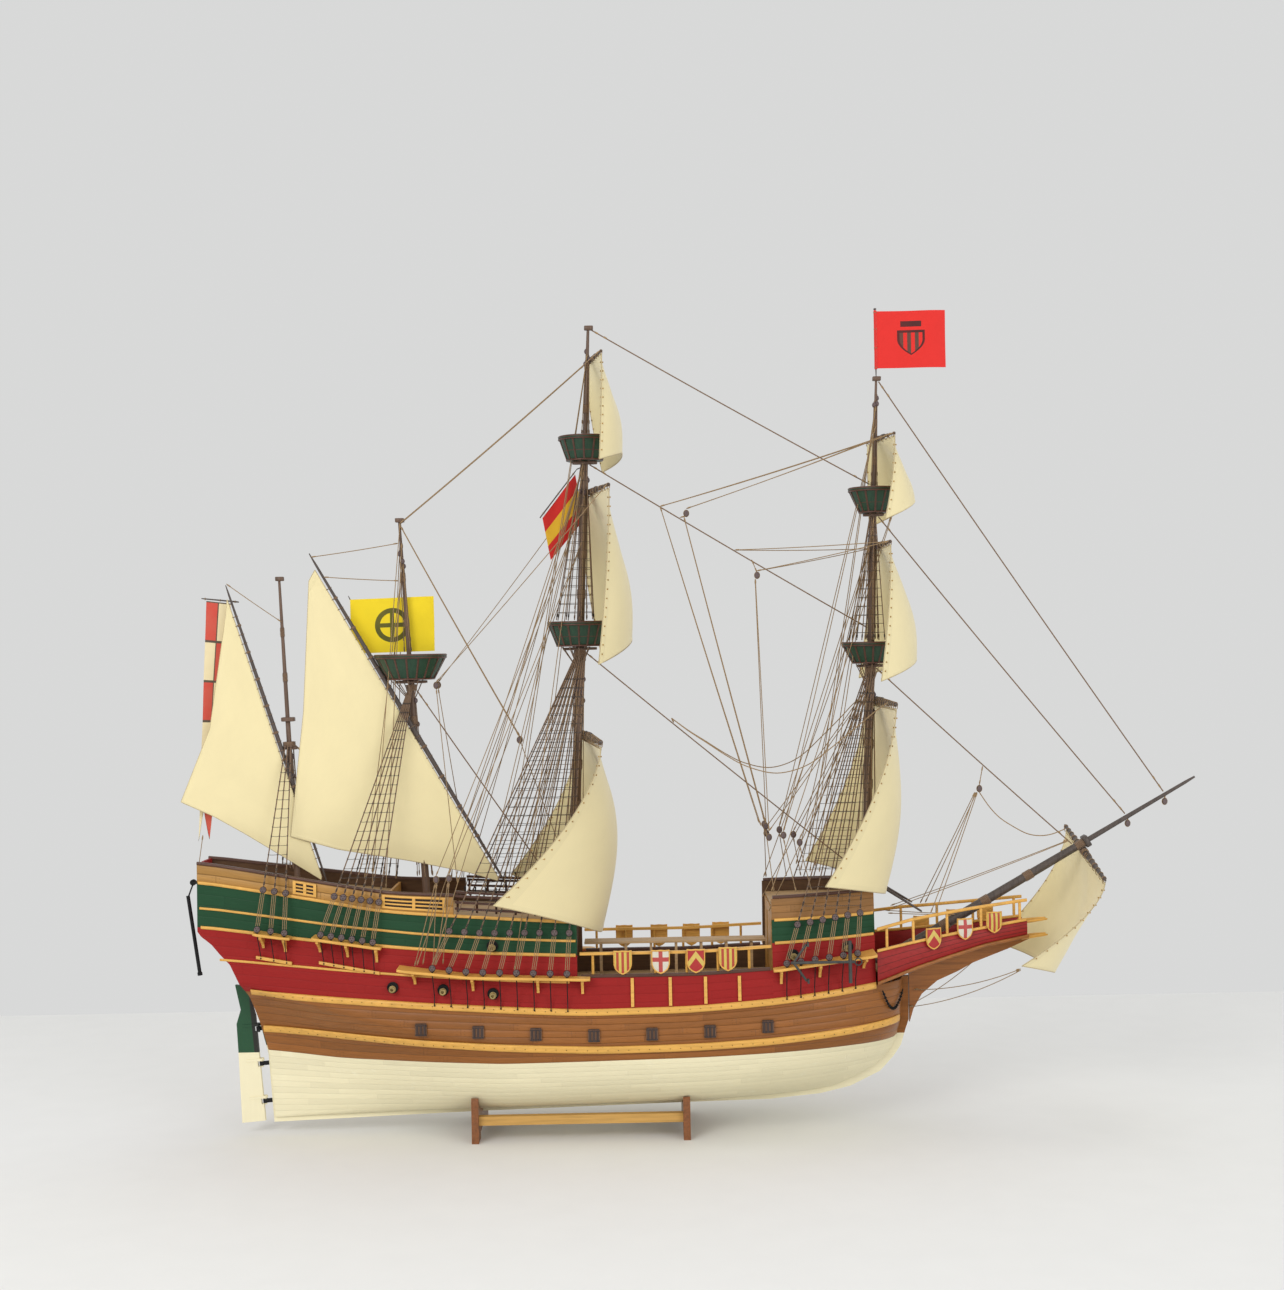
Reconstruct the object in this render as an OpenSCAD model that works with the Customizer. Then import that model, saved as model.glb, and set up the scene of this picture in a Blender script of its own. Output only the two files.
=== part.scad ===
// Display model of a four-masted galleon on a two-post cradle.
// Millimetres. +X is the bow, +Y is port, +Z is up, the cradle stands on Z = 0.

/* [Hull] */
// Half of the greatest breadth of the hull
half_beam = 69; // [60:1:80]
// Thickness of the planking
plank = 2; // [1.5:0.1:2.5]
// Thickness of the keel, stem and sternpost plate
keel_thick = 5; // [4:0.5:7]
// Length of one facet along the planking
plank_step = 20; // [16:1:30]

/* [Masts and rigging] */
// Radius of the main mast at the deck
mast_r = 4.2; // [3.5:0.1:5]
// Diameter of the shrouds
shroud_d = 1.1; // [0.8:0.1:1.4]
// Diameter of the stays
stay_d = 1.0; // [0.6:0.1:1.4]
// Diameter of the running lines
line_d = 0.6; // [0.4:0.1:0.9]
// Vertical distance between ratlines
ratline_step = 7; // [5:0.5:12]
// Thickness of sailcloth and bunting
cloth = 0.6; // [0.4:0.1:1]

/* [Cradle] */
// Distance from the middle of the ship to each cradle post
cradle_x = 82.3; // [70:1:95]
// Thickness of a cradle post
post_thick = 5.5; // [4:0.5:8]
// Half width of a cradle post across the ship
post_half = 44; // [38:1:52]

/* [Hidden] */
eps = 0.1;
// Moves the ship so that the middle of its length stands over the origin.
ship_x = -89.5;
module placed() { translate([ship_x, 0, 0]) children(); }
gap = 0.3;
keel_half = keel_thick / 2;

// ---- lines of the hull: height of each seam along the ship ----
function soft(x, line) = (lookup(x - 14, line) + 2 * lookup(x, line) + lookup(x + 14, line)) / 4;
keel_line = [[-246, 10], [-82, 15.6], [86, 19.6], [150, 20.8], [190, 24.5], [214, 30], [238, 41.5],
    [249, 53.3], [255, 62], [259, 75]];
water_line = [[-262, 69], [-190, 64], [-84, 66], [85, 69], [212, 72], [262, 71]];
low_wale = [[-255, 86], [-190, 84], [-83, 80], [19, 76.5], [85, 77.4], [146, 80], [258, 88]];
high_wale = [[-262, 118.5], [-192, 114.6], [-83, 109], [5, 105], [86, 106], [148, 110], [232, 118]];
red_line = [[-300, 170], [-254, 165], [-207, 160], [-150, 156], [-82, 151], [0, 148]];
green_line = [[-300, 205], [-196, 190], [-155, 183], [-97, 179], [0, 173]];
top_line = [[-300, 219], [-196, 203], [-148, 195.5], [-95, 193.4], [0, 188]];
waist_line = [[0, 131], [94, 131], [150, 134]];
castle_red = [[150, 154], [232, 157.5]];
castle_green = [[150, 171.5], [232, 173.5]];
castle_top = [[150, 187.5], [232, 190.5]];
function keel_z(x) = soft(x, keel_line) + 4;
function water_z(x) = soft(x, water_line);
function low_z(x) = soft(x, low_wale);
function high_z(x) = soft(x, high_wale);
function red_z(x) = soft(x, red_line);
function green_z(x) = soft(x, green_line);
function top_z(x) = soft(x, top_line);

// ---- ends of the planking at each height ----
stern_line = [[10, -244.5], [65, -248.6], [85, -253.5], [114, -261], [126, -267], [140, -274],
    [148, -282], [156, -289], [162, -297], [166, -300], [219, -300]];
bow_line = [[20, 188], [26, 200], [34, 214], [45, 233], [57, 245], [69, 251], [83, 255], [118, 257.5]];
function stern_x(z) = lookup(z, stern_line);
function bow_x(z) = lookup(z, bow_line);

// ---- half breadth of the hull at any point ----
beam_line = [[-300, 0.35], [-262, 0.43], [-190, 0.68], [-120, 0.87], [-50, 0.975], [0, 1]];
function clamp(v, low, high) = min(high, max(low, v));
function bow_shape(x, z) =
    let (full = clamp((z - 60) / 50, 0, 1), far = bow_x(z), start = 60)
    x <= start ? 1 : pow(max(0, 1 - pow(min(1, (x - start) / (far - start)), 2.4 + 1.4 * full)), 0.5);
function widest_z(x) = 85 + 40 * pow(clamp((-60 - x) / 200, 0, 1), 1.5);
function section(x, z) =
    let (run = clamp((-60 - x) / 190, 0, 1), entry = clamp((x - 100) / 150, 0, 1),
        rise = clamp((z - keel_z(x)) / (widest_z(x) - keel_z(x)), 0, 1))
    (1 - run) * pow(1 - pow(1 - rise, 2.2 - 0.5 * entry), 0.5 + 0.35 * entry)
        + run * pow(rise, 2 + 3 * pow(run, 3));
function half(x, z) =
    let (side = keel_half + plank, lean = 1 - 0.0018 * max(0, z - widest_z(x)))
    side + (half_beam * soft(x, beam_line) - side) * lean * section(x, z) * bow_shape(x, z);
function slope(x, z) = clamp(half(x, z + 1) - half(x, z), -1, 12);

// ---- one planking shell, between two seams and two end lines ----
function span(i, n, a, b) = a + (b - a) * i / n;
function outer_point(x, z, proud) =
    let (s = slope(x, z), n = sqrt(1 + s * s))
    [x, half(x, z) + proud / n, z - proud * s / n];
function inner_point(x, z, thick) =
    let (s = slope(x, z), n = sqrt(1 + s * s))
    [x, max(keel_half + eps, half(x, z) - thick / n), z + thick * s / n];
function grid_faces(rows, cols, first, flip) = [for (i = [0:rows - 1], j = [0:cols - 1], k = [0:1])
    let (a = first + i * (cols + 1) + j, b = a + 1, c = a + cols + 1, d = c + 1,
        tri = k == 0 ? [a, b, d] : [a, d, c])
    flip ? [tri[2], tri[1], tri[0]] : tri];
function edge_faces(rows, cols, first, second) =
    let (rim = concat([for (j = [0:cols]) j], [for (i = [1:rows]) i * (cols + 1) + cols],
        [for (j = [cols - 1:-1:0]) rows * (cols + 1) + j], [for (i = [rows - 1:-1:1]) i * (cols + 1)]),
        n = len(rim))
    [for (i = [0:n - 1], k = [0:1])
        let (a = first + rim[i], b = first + rim[(i + 1) % n],
            c = second + rim[i], d = second + rim[(i + 1) % n])
        k == 0 ? [a, c, d] : [a, d, b]];
module sheet_solid(front, back, rows, cols) {
    n = (rows + 1) * (cols + 1);
    polyhedron(concat(front, back), concat(grid_faces(rows, cols, 0, false),
        grid_faces(rows, cols, n, true), edge_faces(rows, cols, 0, n)));
}
module both_sides() {
    children();
    mirror([0, 1, 0]) children();
}
// Points of a shell; an end that is undef follows the sternpost or the stem.
function shell_spots(low, high, rows, cols, aft, fore) =
    let (a0 = is_undef(aft) ? stern_x(soft(-262, low)) : aft,
        a1 = is_undef(aft) ? stern_x(soft(-262, high)) : aft,
        f0 = is_undef(fore) ? bow_x(soft(258, low)) : fore,
        f1 = is_undef(fore) ? bow_x(soft(258, high)) : fore)
    [for (i = [0:cols], j = [0:rows])
        let (za = span(j, rows, soft(a0, low), soft(a1, high)),
            zf = span(j, rows, soft(f0, low), soft(f1, high)),
            xa = is_undef(aft) ? stern_x(za) : aft, xf = is_undef(fore) ? bow_x(zf) : fore)
        [span(i, cols, xa, xf),
            span(j, rows, soft(span(i, cols, a0, f0), low), soft(span(i, cols, a1, f1), high))]];
module shell(low, high, rows, aft, fore) {
    long = (is_undef(fore) ? 257 : fore) - (is_undef(aft) ? -262 : aft);
    cols = max(2, round(long / plank_step));
    spots = shell_spots(low, high, rows, cols, aft, fore);
    both_sides() sheet_solid([for (p = spots) inner_point(p[0], p[1], plank)],
        [for (p = spots) outer_point(p[0], p[1], 0)], cols, rows);
}
// The seam above a line, clear of the planks below it.
function raised(line) = [for (p = line) p + [0, 0.2]];
module hull_bottom() { color("ivory") bottom_shell(8); }
// The bottom planking ends on the stem, so its lowest seam stops where the stem begins to rise.
module bottom_shell(rows) {
    cols = round(500 / plank_step);
    spots = [for (i = [0:cols], j = [0:rows])
        let (za = span(j, rows, 14, water_z(-250)), zf = span(j, rows, 27, water_z(250)),
            x = span(i, cols, stern_x(za), bow_x(zf)),
            x0 = span(i, cols, stern_x(14), bow_x(27)), x1 = span(i, cols, -249, 251))
        [x, span(j, rows, keel_z(x0), water_z(x1))]];
    both_sides() sheet_solid([for (p = spots) inner_point(p[0], p[1], plank)],
        [for (p = spots) outer_point(p[0], p[1], 0)], cols, rows);
}
module wale_planking() { color("sienna") shell(water_line, high_wale, 3); }
module red_planking() {
    color("firebrick") {
        shell(raised(high_wale), red_line, 2, undef, 0);
        shell(raised(high_wale), waist_line, 1, 0, 150);
        shell(raised(high_wale), castle_red, 2, 150, 231);
    }
}
module green_planking() { color("darkgreen") shell(red_line, green_line, 1, undef, 0); }
module top_planking() { color("peru") shell(raised(green_line), top_line, 1, undef, -95); }
module forecastle_planking() {
    color("darkgreen") shell(castle_red, castle_green, 1, 150, 231);
    color("peru") shell(castle_green, castle_top, 1, 150, 231);
}

// ---- swept bars: a list of rings with the same number of points, closed at both ends ----
module bar(rings) {
    n = len(rings);
    m = len(rings[0]);
    sides = [for (i = [0:n - 2], j = [0:m - 1], k = [0:1])
        let (a = i * m + j, b = i * m + (j + 1) % m, c = a + m, d = b + m)
        k == 0 ? [a, b, d] : [a, d, c]];
    caps = concat([for (j = [1:m - 2]) [0, j + 1, j]],
        [for (j = [1:m - 2]) [(n - 1) * m, (n - 1) * m + j, (n - 1) * m + j + 1]]);
    polyhedron([for (ring = rings) each ring], concat(sides, caps));
}
function stops(a, b) = let (n = max(2, round(abs(b - a) / plank_step)))
    [for (i = [0:n]) a + (b - a) * i / n];
// A strip fastened along the planking: tall over its height, standing proud of the planks.
module strake(line, tall, proud, aft, fore, off = gap) {
    both_sides() bar([for (x = stops(aft, fore)) let (z = soft(x, line),
        low = outer_point(x, z - tall / 2, off),
        high = outer_point(x, z + tall / 2, off))
        [low, high, high + [0, proud, 0], low + [0, proud, 0]]]);
}
// A cap lying on the top edge of the planking.
module cap(line, wide, tall, aft, fore) {
    both_sides() bar([for (x = stops(aft, fore)) let (z = soft(x, line) + eps, y = half(x, z) + 0.8)
        [[x, y - wide, z], [x, y - wide, z + tall], [x, y, z + tall], [x, y, z]]]);
}
module rod(a, b, d, sides) {
    v = b - a;
    long = norm(v);
    translate(a) rotate([0, acos(v[2] / long), atan2(v[1], v[0])]) cylinder(h = long, d = d, $fn = sides);
}

// ---- cradle ----
module cradle_post(x) {
    hull_edge = [for (z = [24:2:40]) let (p = outer_point(x, z, 1)) [p[1], p[2]]];
    floor_z = lookup(x, keel_line) - gap;
    color("saddlebrown") translate([x - post_thick / 2, 0, 0]) rotate([90, 0, 90])
        linear_extrude(post_thick)
        difference() {
            polygon([[-post_half, 0], [post_half, 0], [post_half, 32], [post_half - 2, 35],
            [2 - post_half, 35],
                [-post_half, 32]]);
            polygon(concat([[0, keel_z(x) - 2]], hull_edge, [[post_half + 20, 60], [0, 60]]));
            mirror([1, 0]) polygon(concat([[0, keel_z(x) - 2]], hull_edge,
                [[post_half + 20, 60], [0, 60]]));
            translate([-keel_half - 0.4, floor_z]) square([keel_thick + 0.8, 30]);
            translate([-26, -1]) square([52, 6]);
        }
}
module cradle_post_aft() { cradle_post(-cradle_x); }
module cradle_post_fore() { cradle_post(cradle_x); }
module cradle_rails() {
    long = 2 * cradle_x - post_thick - 0.1;
    color("burlywood") both_sides() translate([-long / 2, 33, 13]) cube([long, 6, 7]);
}

// ---- keel, stem and sternpost: one upright plate down the middle ----
spine_top = 104;
module keel_spine() {
    color("ivory") rotate([90, 0, 0]) translate([0, 0, -keel_half]) linear_extrude(keel_thick)
        polygon(concat([[-246.3, 10]], [for (i = [1:len(keel_line) - 1]) keel_line[i]],
            [[261.5, 82], [262, 117], [252, 116], [240, spine_top], [-252, spine_top], [-252, 88],
            [-256, 87.5],
                [-255.2, 85], [-250.1, 65]]));
}
frame_spots = [-225, -180, -135, -55, 30, 75, 120, 165, 205];
module half_frames() {
    color("tan") both_sides() for (x = frame_spots) {
        low = keel_z(x) + 6;
        narrow = x > 0 ? x + 3 : x;
        edge = [for (i = [0:9]) let (p = inner_point(narrow, span(i, 9, low, 101), plank + 1.1))
            [p[1], p[2]]];
        translate([x, 0, 0]) rotate([90, 0, 90]) linear_extrude(3)
            polygon(concat([[keel_half + gap, low + 3]], edge, [[keel_half + gap, 101]]));
    }
}

// ---- transom: the counter and the flat stern above it, between the side plankings ----
module transom() {
    heights = [90, 98, 106, 114, 121, 128, 134, 141, 149, 156, 162, 167, 192, 219];
    function edge(z) = let (s = slope(stern_x(z), z)) max(1.5, half(stern_x(z), z) - plank * sqrt(1 + s * s)
        - (z > 110 && z < 145 ? 2.6 : 0.8));
    function panel(shift) = [for (z = heights, j = [0:6]) let (y = edge(z) * (1 - j / 3))
        [stern_x(z) + shift + 0.004 * y * y - 0.4, y, z]];
    color("firebrick") sheet_solid(panel(plank), panel(0), len(heights) - 1, 6);
}

// ---- wales, mouldings and caps ----
red_mould = [for (x = [-290:58:0]) [x, (high_z(x) + red_z(x)) / 2 + 1]];
green_mould = [for (x = [-298:59.6:0]) [x, (red_z(x) + green_z(x)) / 2 - 2]];
module wales() {
    color("goldenrod") {
        strake(low_wale, 5.5, 1.4, -252, 252, 0.7);
        strake(high_wale, 5, 1.3, -258, 231, 1.1);
    }
}
module mouldings() {
    color("goldenrod") {
        strake(red_line, 2.4, 1.2, -297, -1);
        strake(green_line, 2.4, 1.2, -299, -5);
        strake(red_mould, 1.8, 1, -282, -6);
        strake(green_mould, 1.8, 1, -298, -1);
        strake(castle_red, 2.2, 1.2, 152, 230);
        strake(castle_green, 2.2, 1.2, 152, 230);
        cap(top_line, 4, 2.2, -300, -95);
        cap(waist_line, 4, 2, 3, 148);
        cap(castle_top, 4, 2, 151, 231);
    }
}

// ---- decks: planks laid between the sides, with a hole for each mast ----
function deck_edge(x, z) = half(x, z) - plank - 1;
module deck(aft, fore, z_aft, z_fore, masts, hatch) {
    pitch = atan2(z_aft - z_fore, fore - aft);
    side = [for (x = stops(aft, fore)) let (z = z_aft + (z_fore - z_aft) * (x - aft) / (fore - aft))
        [(x - aft) / cos(pitch), deck_edge(x, z)]];
    translate([aft, 0, z_aft]) rotate([0, pitch, 0]) difference() {
        linear_extrude(plank) polygon(concat(side,
            [for (i = [len(side) - 1:-1:0]) [side[i][0], -side[i][1]]]));
        for (m = masts) translate([m[0] - aft, 0, -5]) cylinder(h = 12, r = m[1] + 1.4, $fn = 32);
        if (hatch) translate([hatch - aft, -14, -5]) cube([34, 28, 12]);
    }
}
module decks() {
    color("burlywood") {
        deck(-30, 226, 111.5, 113.5, [[mast_x(main, 113), 4.4], [mast_x(fore, 113), 4]], 70);
        deck(-148, -14, 178, 169, [[mast_x(mizzen, 178), 3.6]], 0);
        deck(-292, -150, 206, 186, [[mast_x(bonaventure, 196), 2.8]], 0);
        deck(152.5, 226, 177, 179, [[mast_x(fore, 178), 4]], 0);
    }
}

// ---- bulkheads across the ship, each with its doorways ----
module bulkhead(x, low, high, doors, mast_slot) {
    edge = [for (i = [0:4]) let (z = span(i, 4, low, high)) [half(x, z) - plank - 1.2, z]];
    translate([x, 0, 0]) rotate([90, 0, 90]) linear_extrude(plank) difference() {
        polygon(concat(edge, [for (i = [4:-1:0]) [-edge[i][0], edge[i][1]]]));
        for (y = doors) translate([y - 6, low + 4]) square([12, high - low - 12]);
        if (mast_slot > 0) translate([-mast_slot, low - 1]) square([2 * mast_slot, high - low + 2]);
    }
}
module cabin_bulkheads() {
    color("peru") {
        bulkhead(-17, 114.5, 166.5, [-30, 30], 0);
        bulkhead(-149.7, 181, 194, [], 0);
        bulkhead(152, 115.4, 176, [-26, 26], 0);
        bulkhead(228, 119, 188, [-22, 22], 5);
    }
}

// ---- rails of the waist and of the half deck ----
function waist_z(x) = soft(x, waist_line);
module waist_rails() {
    color("goldenrod") both_sides() {
        for (x = [12:24:148]) translate([x, half(x, 134) - 1.2, waist_z(x) + 2.3])
            rod([0, -1, 0], [0, -2, 14.4], 2, 4);
        bar([for (x = stops(2, 149)) let (y = half(x, 134) - 4.6, z = waist_z(x) + 17)
            [[x, y, z], [x, y, z + 2], [x, y + 3.4, z + 2], [x, y + 3.4, z]]]);
        for (x = [42, 71, 98, 124]) bar([for (z = [high_z(x) + 3.4, 130.4]) let (y = half(x, z) + gap)
            [[x - 1.2, y, z], [x - 1.2, y + 1.2, z], [x + 1.2, y + 1.2, z], [x + 1.2, y, z]]]);
    }
}
module quarter_rails() {
    color("saddlebrown") both_sides() {
        for (x = [-92:15:-2]) translate([x, half(x, 186) - 3.2, green_z(x) + 2.6])
            rod([0, 0, 0], [0, -0.8, 13.6], 1.8, 4);
        for (k = [0:2]) bar([for (x = stops(-94, 0))
            let (z = green_z(x) + 4.6 + 4.8 * k, y = half(x, z) - 1.8)
            [[x, y, z], [x, y, z + 1.8], [x, y + 1.2, z + 1.8], [x, y + 1.2, z]]]);
        bar([for (x = stops(-94, 0)) let (z = green_z(x) + 17, y = half(x, z) - 5)
            [[x, y, z], [x, y, z + 1.8], [x, y + 3.6, z + 1.8], [x, y + 3.6, z]]]);
    }
}
module gangway() {
    color("burlywood") for (y = [-9.5, -3.1, 3.3]) translate([4, y, 148]) cube([144, 6.2, 1.6]);
    color("saddlebrown") for (x = [16:20:140], side = [-1, 1]) translate([x, side * 7 - 1, 116])
        cube([2, 2, 31.8]);
}
module shield() {
    linear_extrude(1.2)
        polygon([[-7, 9], [7, 9], [7, -2], [5, -6.5], [0, -9.5], [-5, -6.5], [-7, -2]]);
}
shield_spots = [35, 64, 91, 115.5];
head_shields = [[278, 151], [304, 157], [328, 161]];
module shields() {
    color("gold") both_sides() {
        for (x = shield_spots) translate([x, half(x, 140) + 1.6, waist_z(x) + 11.6]) rotate([90, 0, 180])
            shield();
        for (p = head_shields) translate([p[0], head_half(p[0]) + 4, p[1]])
            rotate([0, 0, atan((head_half(p[0] + 6) - head_half(p[0] - 6)) / 12)]) rotate([90, 0, 180])
                scale(0.92) shield();
    }
}

// ---- beakhead ----
head_low = [[231, 119], [266, 128.7], [322, 142.5], [358, 148]];
head_high = [[231, 143.5], [354, 160]];
head_rail = [[231, 160], [262, 165.5], [310, 171], [355, 175.5]];
function head_half(x) = lookup(x, [[231, 47], [257, 35], [285, 25], [312, 18], [357, 9]]);
module head_knee() {
    color("sienna") rotate([90, 0, 0]) translate([0, 0, -keel_half]) linear_extrude(keel_thick)
        polygon([[262.4, 80], [265.6, 90.6], [272.6, 102.4], [285, 112.6], [302, 120], [314, 126.5],
            [342, 137],
            [360, 145], [357, 147.2], [322, 141.5], [290, 134], [262.4, 118]]);
}
module head_bar(line, tall, thick, aft, fore) {
    both_sides() bar([for (x = [aft:(fore - aft) / 8:fore]) let (z = lookup(x, line), y = head_half(x))
        [[x, y, z], [x, y, z + tall], [x, y + thick, z + tall], [x, y + thick, z]]]);
}
module head_sides() {
    color("firebrick") both_sides() bar([for (x = [232:15.5:356])
        let (y = head_half(x), low = lookup(x, head_low) + 1.6, high = lookup(x, head_high))
        [[x, y, low], [x, y, high], [x, y + 2, high], [x, y + 2, low]]]);
    color("goldenrod") {
        head_bar([for (p = head_low) [p[0], p[1] - 1]], 2.4, 3, 232, 357);
        head_bar([for (p = head_high) [p[0], p[1] + eps]], 2, 3, 232, 355);
        head_bar(head_rail, 2.6, 2.6, 232, 356);
        both_sides() for (x = [240, 262, 290, 318, 350]) let (z = lookup(x, head_high) + 2.2)
            translate([x, head_half(x) + 1.2, z])
                rod([0, 0, 0], [0, 0, lookup(x, head_rail) - z - 0.1], 2, 4);
        translate([355, -10.6, 158]) rod([0, 0, 0], [0, 21.2, 0], 2.4, 4);
    }
}
module head_grating() {
    function deck_z(x) = lookup(x, head_low) + 6;
    color("burlywood") both_sides() for (k = [0:4]) {
        ends = [350, 350, 318, 285, 262];
        y = 6.4 + 5.4 * k;
        bar([for (x = [233:(ends[k] - 233) / 5:ends[k]])
            let (z = deck_z(x), o = min(0, head_half(x) - 1 - 5 - y))
            [[x, y + o, z], [x, y + o, z + 1.6], [x, y + 4.6 + o, z + 1.6], [x, y + 4.6 + o, z]]]);
    }
}

// ---- masts: where the axis crosses a height, that height, and forward rake per unit of height ----
main = [-5.2, 158, 0.0442];
fore = [229.8, 186, 0.0389];
mizzen = [-122.6, 208, -0.0547];
bonaventure = [-225, 210, -0.0421];
foot_z = spine_top + gap;
function mast_x(m, z) = m[0] + (z - m[1]) * m[2];
// Each spar of a mast: lower height, upper height, lower radius, upper radius.
main_spars = [[foot_z, 390, mast_r, 3.4], [390, 540, 2.7, 2.2], [540, 641, 1.6, 0.9]];
fore_spars = [[foot_z, 372, 3.8, 3], [372, 493, 2.5, 2], [493, 596, 1.4, 0.8]];
mizzen_spars = [[foot_z, 366, 3.2, 2.4], [366, 490, 1.7, 0.9]];
bonaventure_spars = [[foot_z, 330, 2.6, 1.9], [330, 445, 1.5, 0.9]];
module mast(m, spars) {
    lean = atan(m[2]);
    for (s = spars) translate([mast_x(m, s[0]), 0, s[0]]) rotate([0, lean, 0])
        cylinder(h = (s[1] - s[0]) / cos(lean), r1 = s[2], r2 = s[3], $fn = 32);
}
module main_mast() { color("dimgray") mast(main, main_spars); }
module fore_mast() { color("dimgray") mast(fore, fore_spars); }
module mizzen_mast() { color("dimgray") mast(mizzen, mizzen_spars); }
module bonaventure_mast() { color("dimgray") mast(bonaventure, bonaventure_spars); }
sprit_rise = 0.566;
function sprit_z(x) = 124.5 + (x - 235) * sprit_rise;
module bowsprit() {
    lean = 90 - atan(sprit_rise);
    color("dimgray") translate([235, 0, sprit_z(235)]) rotate([0, lean, 0]) {
        cylinder(h = 200, r1 = 4.2, r2 = 3, $fn = 32);
        translate([0, 0, 200]) cylinder(h = 98, r1 = 2.2, r2 = 1.2, $fn = 32);
    }
}

// ---- tops: mast, floor height, floor radius, rim height, rim radius, radius of the mast hole ----
top_list = [[main, 385, 18, 404.7, 25, 4.4], [main, 533, 14, 552.5, 20, 3.2], [fore, 367, 14, 384, 22, 4],
    [fore, 487, 11, 507, 19, 3], [mizzen, 361, 18.5, 381, 28, 3.4]];
module top_bowl(t) {
    tall = t[3] - t[1];
    translate([mast_x(t[0], t[1]), 0, t[1]]) rotate_extrude($fn = 48) polygon([[t[5], 0], [t[2], 0],
        [t[4], tall - 2], [t[4] + 1, tall - 2], [t[4] + 1, tall], [t[4] - 1, tall], [t[2] - 1.4, 1.6],
            [t[5], 1.6]]);
}
module tops() { color("darkgreen") for (t = top_list) top_bowl(t); }

// ---- square yards and their sails ----
// mast, height, half length, radius, yaw, middle X; then foot: clew X, clew Z, half width, middle
// X, drop, belly
function yard_x(m, z, mast_radius, yard_radius) = mast_x(m, z) + mast_radius + yard_radius + 2;
main_yard = [yard_x(main, 312, 3.7, 3), 312.6, 100, 3, 7, 0];
main_top_yard = [yard_x(main, 508, 3.2, 1.9), 508.8, 64, 1.9, 13, 0];
main_gallant_yard = [yard_x(main, 615, 1.3, 1.3), 615, 40, 1.3, 11, 0];
fore_yard = [yard_x(fore, 336, 3.2, 2.7), 336.5, 88, 2.7, 1, 0];
fore_top_yard = [yard_x(fore, 461, 2.2, 1.7), 461.2, 56, 1.7, 1, 0];
fore_gallant_yard = [yard_x(fore, 547, 1.2, 1.2), 547, 36, 1.2, 11, 0];
sprit_yard = [405, sprit_z(405) - 7.6, 67, 2.4, 0, 12.7];
yards = [main_yard, main_top_yard, main_gallant_yard, fore_yard, fore_top_yard, fore_gallant_yard,
    sprit_yard];
module spar(long, r_mid, r_end) {
    both_sides() rotate([-90, 0, 0]) cylinder(h = long, r1 = r_mid, r2 = r_end, $fn = 24);
}
module square_yards() {
    color("dimgray") for (y = yards)
        translate([y[0], 0, y[1]]) rotate([y[5], 0, y[4]]) spar(y[2], y[3], y[3] * 0.45);
}
function yard_end(y, side) = [y[0] - side * y[2] * sin(y[4]), side * y[2] * cos(y[4]),
    y[1] + side * y[2] * sin(y[5])];
// foot: [clew x, clew z, half width, middle x, drop of the middle, forward belly]
function sail_point(y, foot, u, v, back) =
    let (top = yard_end(y, 1) - [y[0], 0, y[1]], wide = 0.95 * u, drop_z = y[3] + 0.8,
        head = [y[0], 0, y[1] - drop_z] + wide * top,
        edge_x = head[0] + (foot[0] - head[0]) * pow(v, 1.6),
        middle_x = head[0] + (foot[3] - head[0]) * v + foot[5] * sin(180 * v))
    [edge_x + (middle_x - edge_x) * (1 - pow(abs(u), 3)) + back,
        head[1] + (u * foot[2] - head[1]) * v,
        head[2] + (foot[1] - head[2]) * v - foot[4] * (1 - u * u) * v * v];
module square_sail(y, foot) {
    rows = 10;
    cols = 12;
    function side(back) = [for (i = [0:rows], j = [0:cols])
        sail_point(y, foot, 2 * j / cols - 1, i / rows, back)];
    color("wheat") sheet_solid(side(cloth), side(0), rows, cols);
}
module main_course() { square_sail(main_yard, [-61, 192, 95, 18, 34, 16]); }
module main_topsail() { square_sail(main_top_yard, [21, 371, 80, 46, -18, 10]); }
module main_topgallant() { square_sail(main_gallant_yard, [24, 529, 55, 41, -9, 7]); }
module fore_course() { square_sail(fore_yard, [189, 200, 85, 243, 15, 13]); }
module fore_topsail() { square_sail(fore_top_yard, [235.7, 354, 72, 271, -17, 9]); }
module fore_topgallant() { square_sail(fore_gallant_yard, [244, 479, 50, 273, -17, 6]); }
module spritsail() { square_sail(sprit_yard, [341, 133, 60, 376, 14, 8]); }

// ---- lateen yards and sails, on the starboard side of their masts ----
// upper end, lower end, offset across the ship, radius
mizzen_yard = [[-209.6, 463], [-57.8, 197], -5, 2];
bonaventure_yard = [[-276.8, 439], [-200.3, 200], -4.2, 1.7];
function yard_at(y, t) = y[0] + (y[1] - y[0]) * t;
module lateen_yards() {
    color("dimgray") for (y = [mizzen_yard, bonaventure_yard]) {
        mid = yard_at(y, 0.5);
        for (e = [y[0], y[1]]) let (v = e - mid) translate([mid[0], y[2], mid[1]])
            rotate([0, 90 - atan2(v[1], v[0]), 0])
                cylinder(h = norm(v), r1 = y[3], r2 = y[3] * 0.4, $fn = 24);
    }
}
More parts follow.
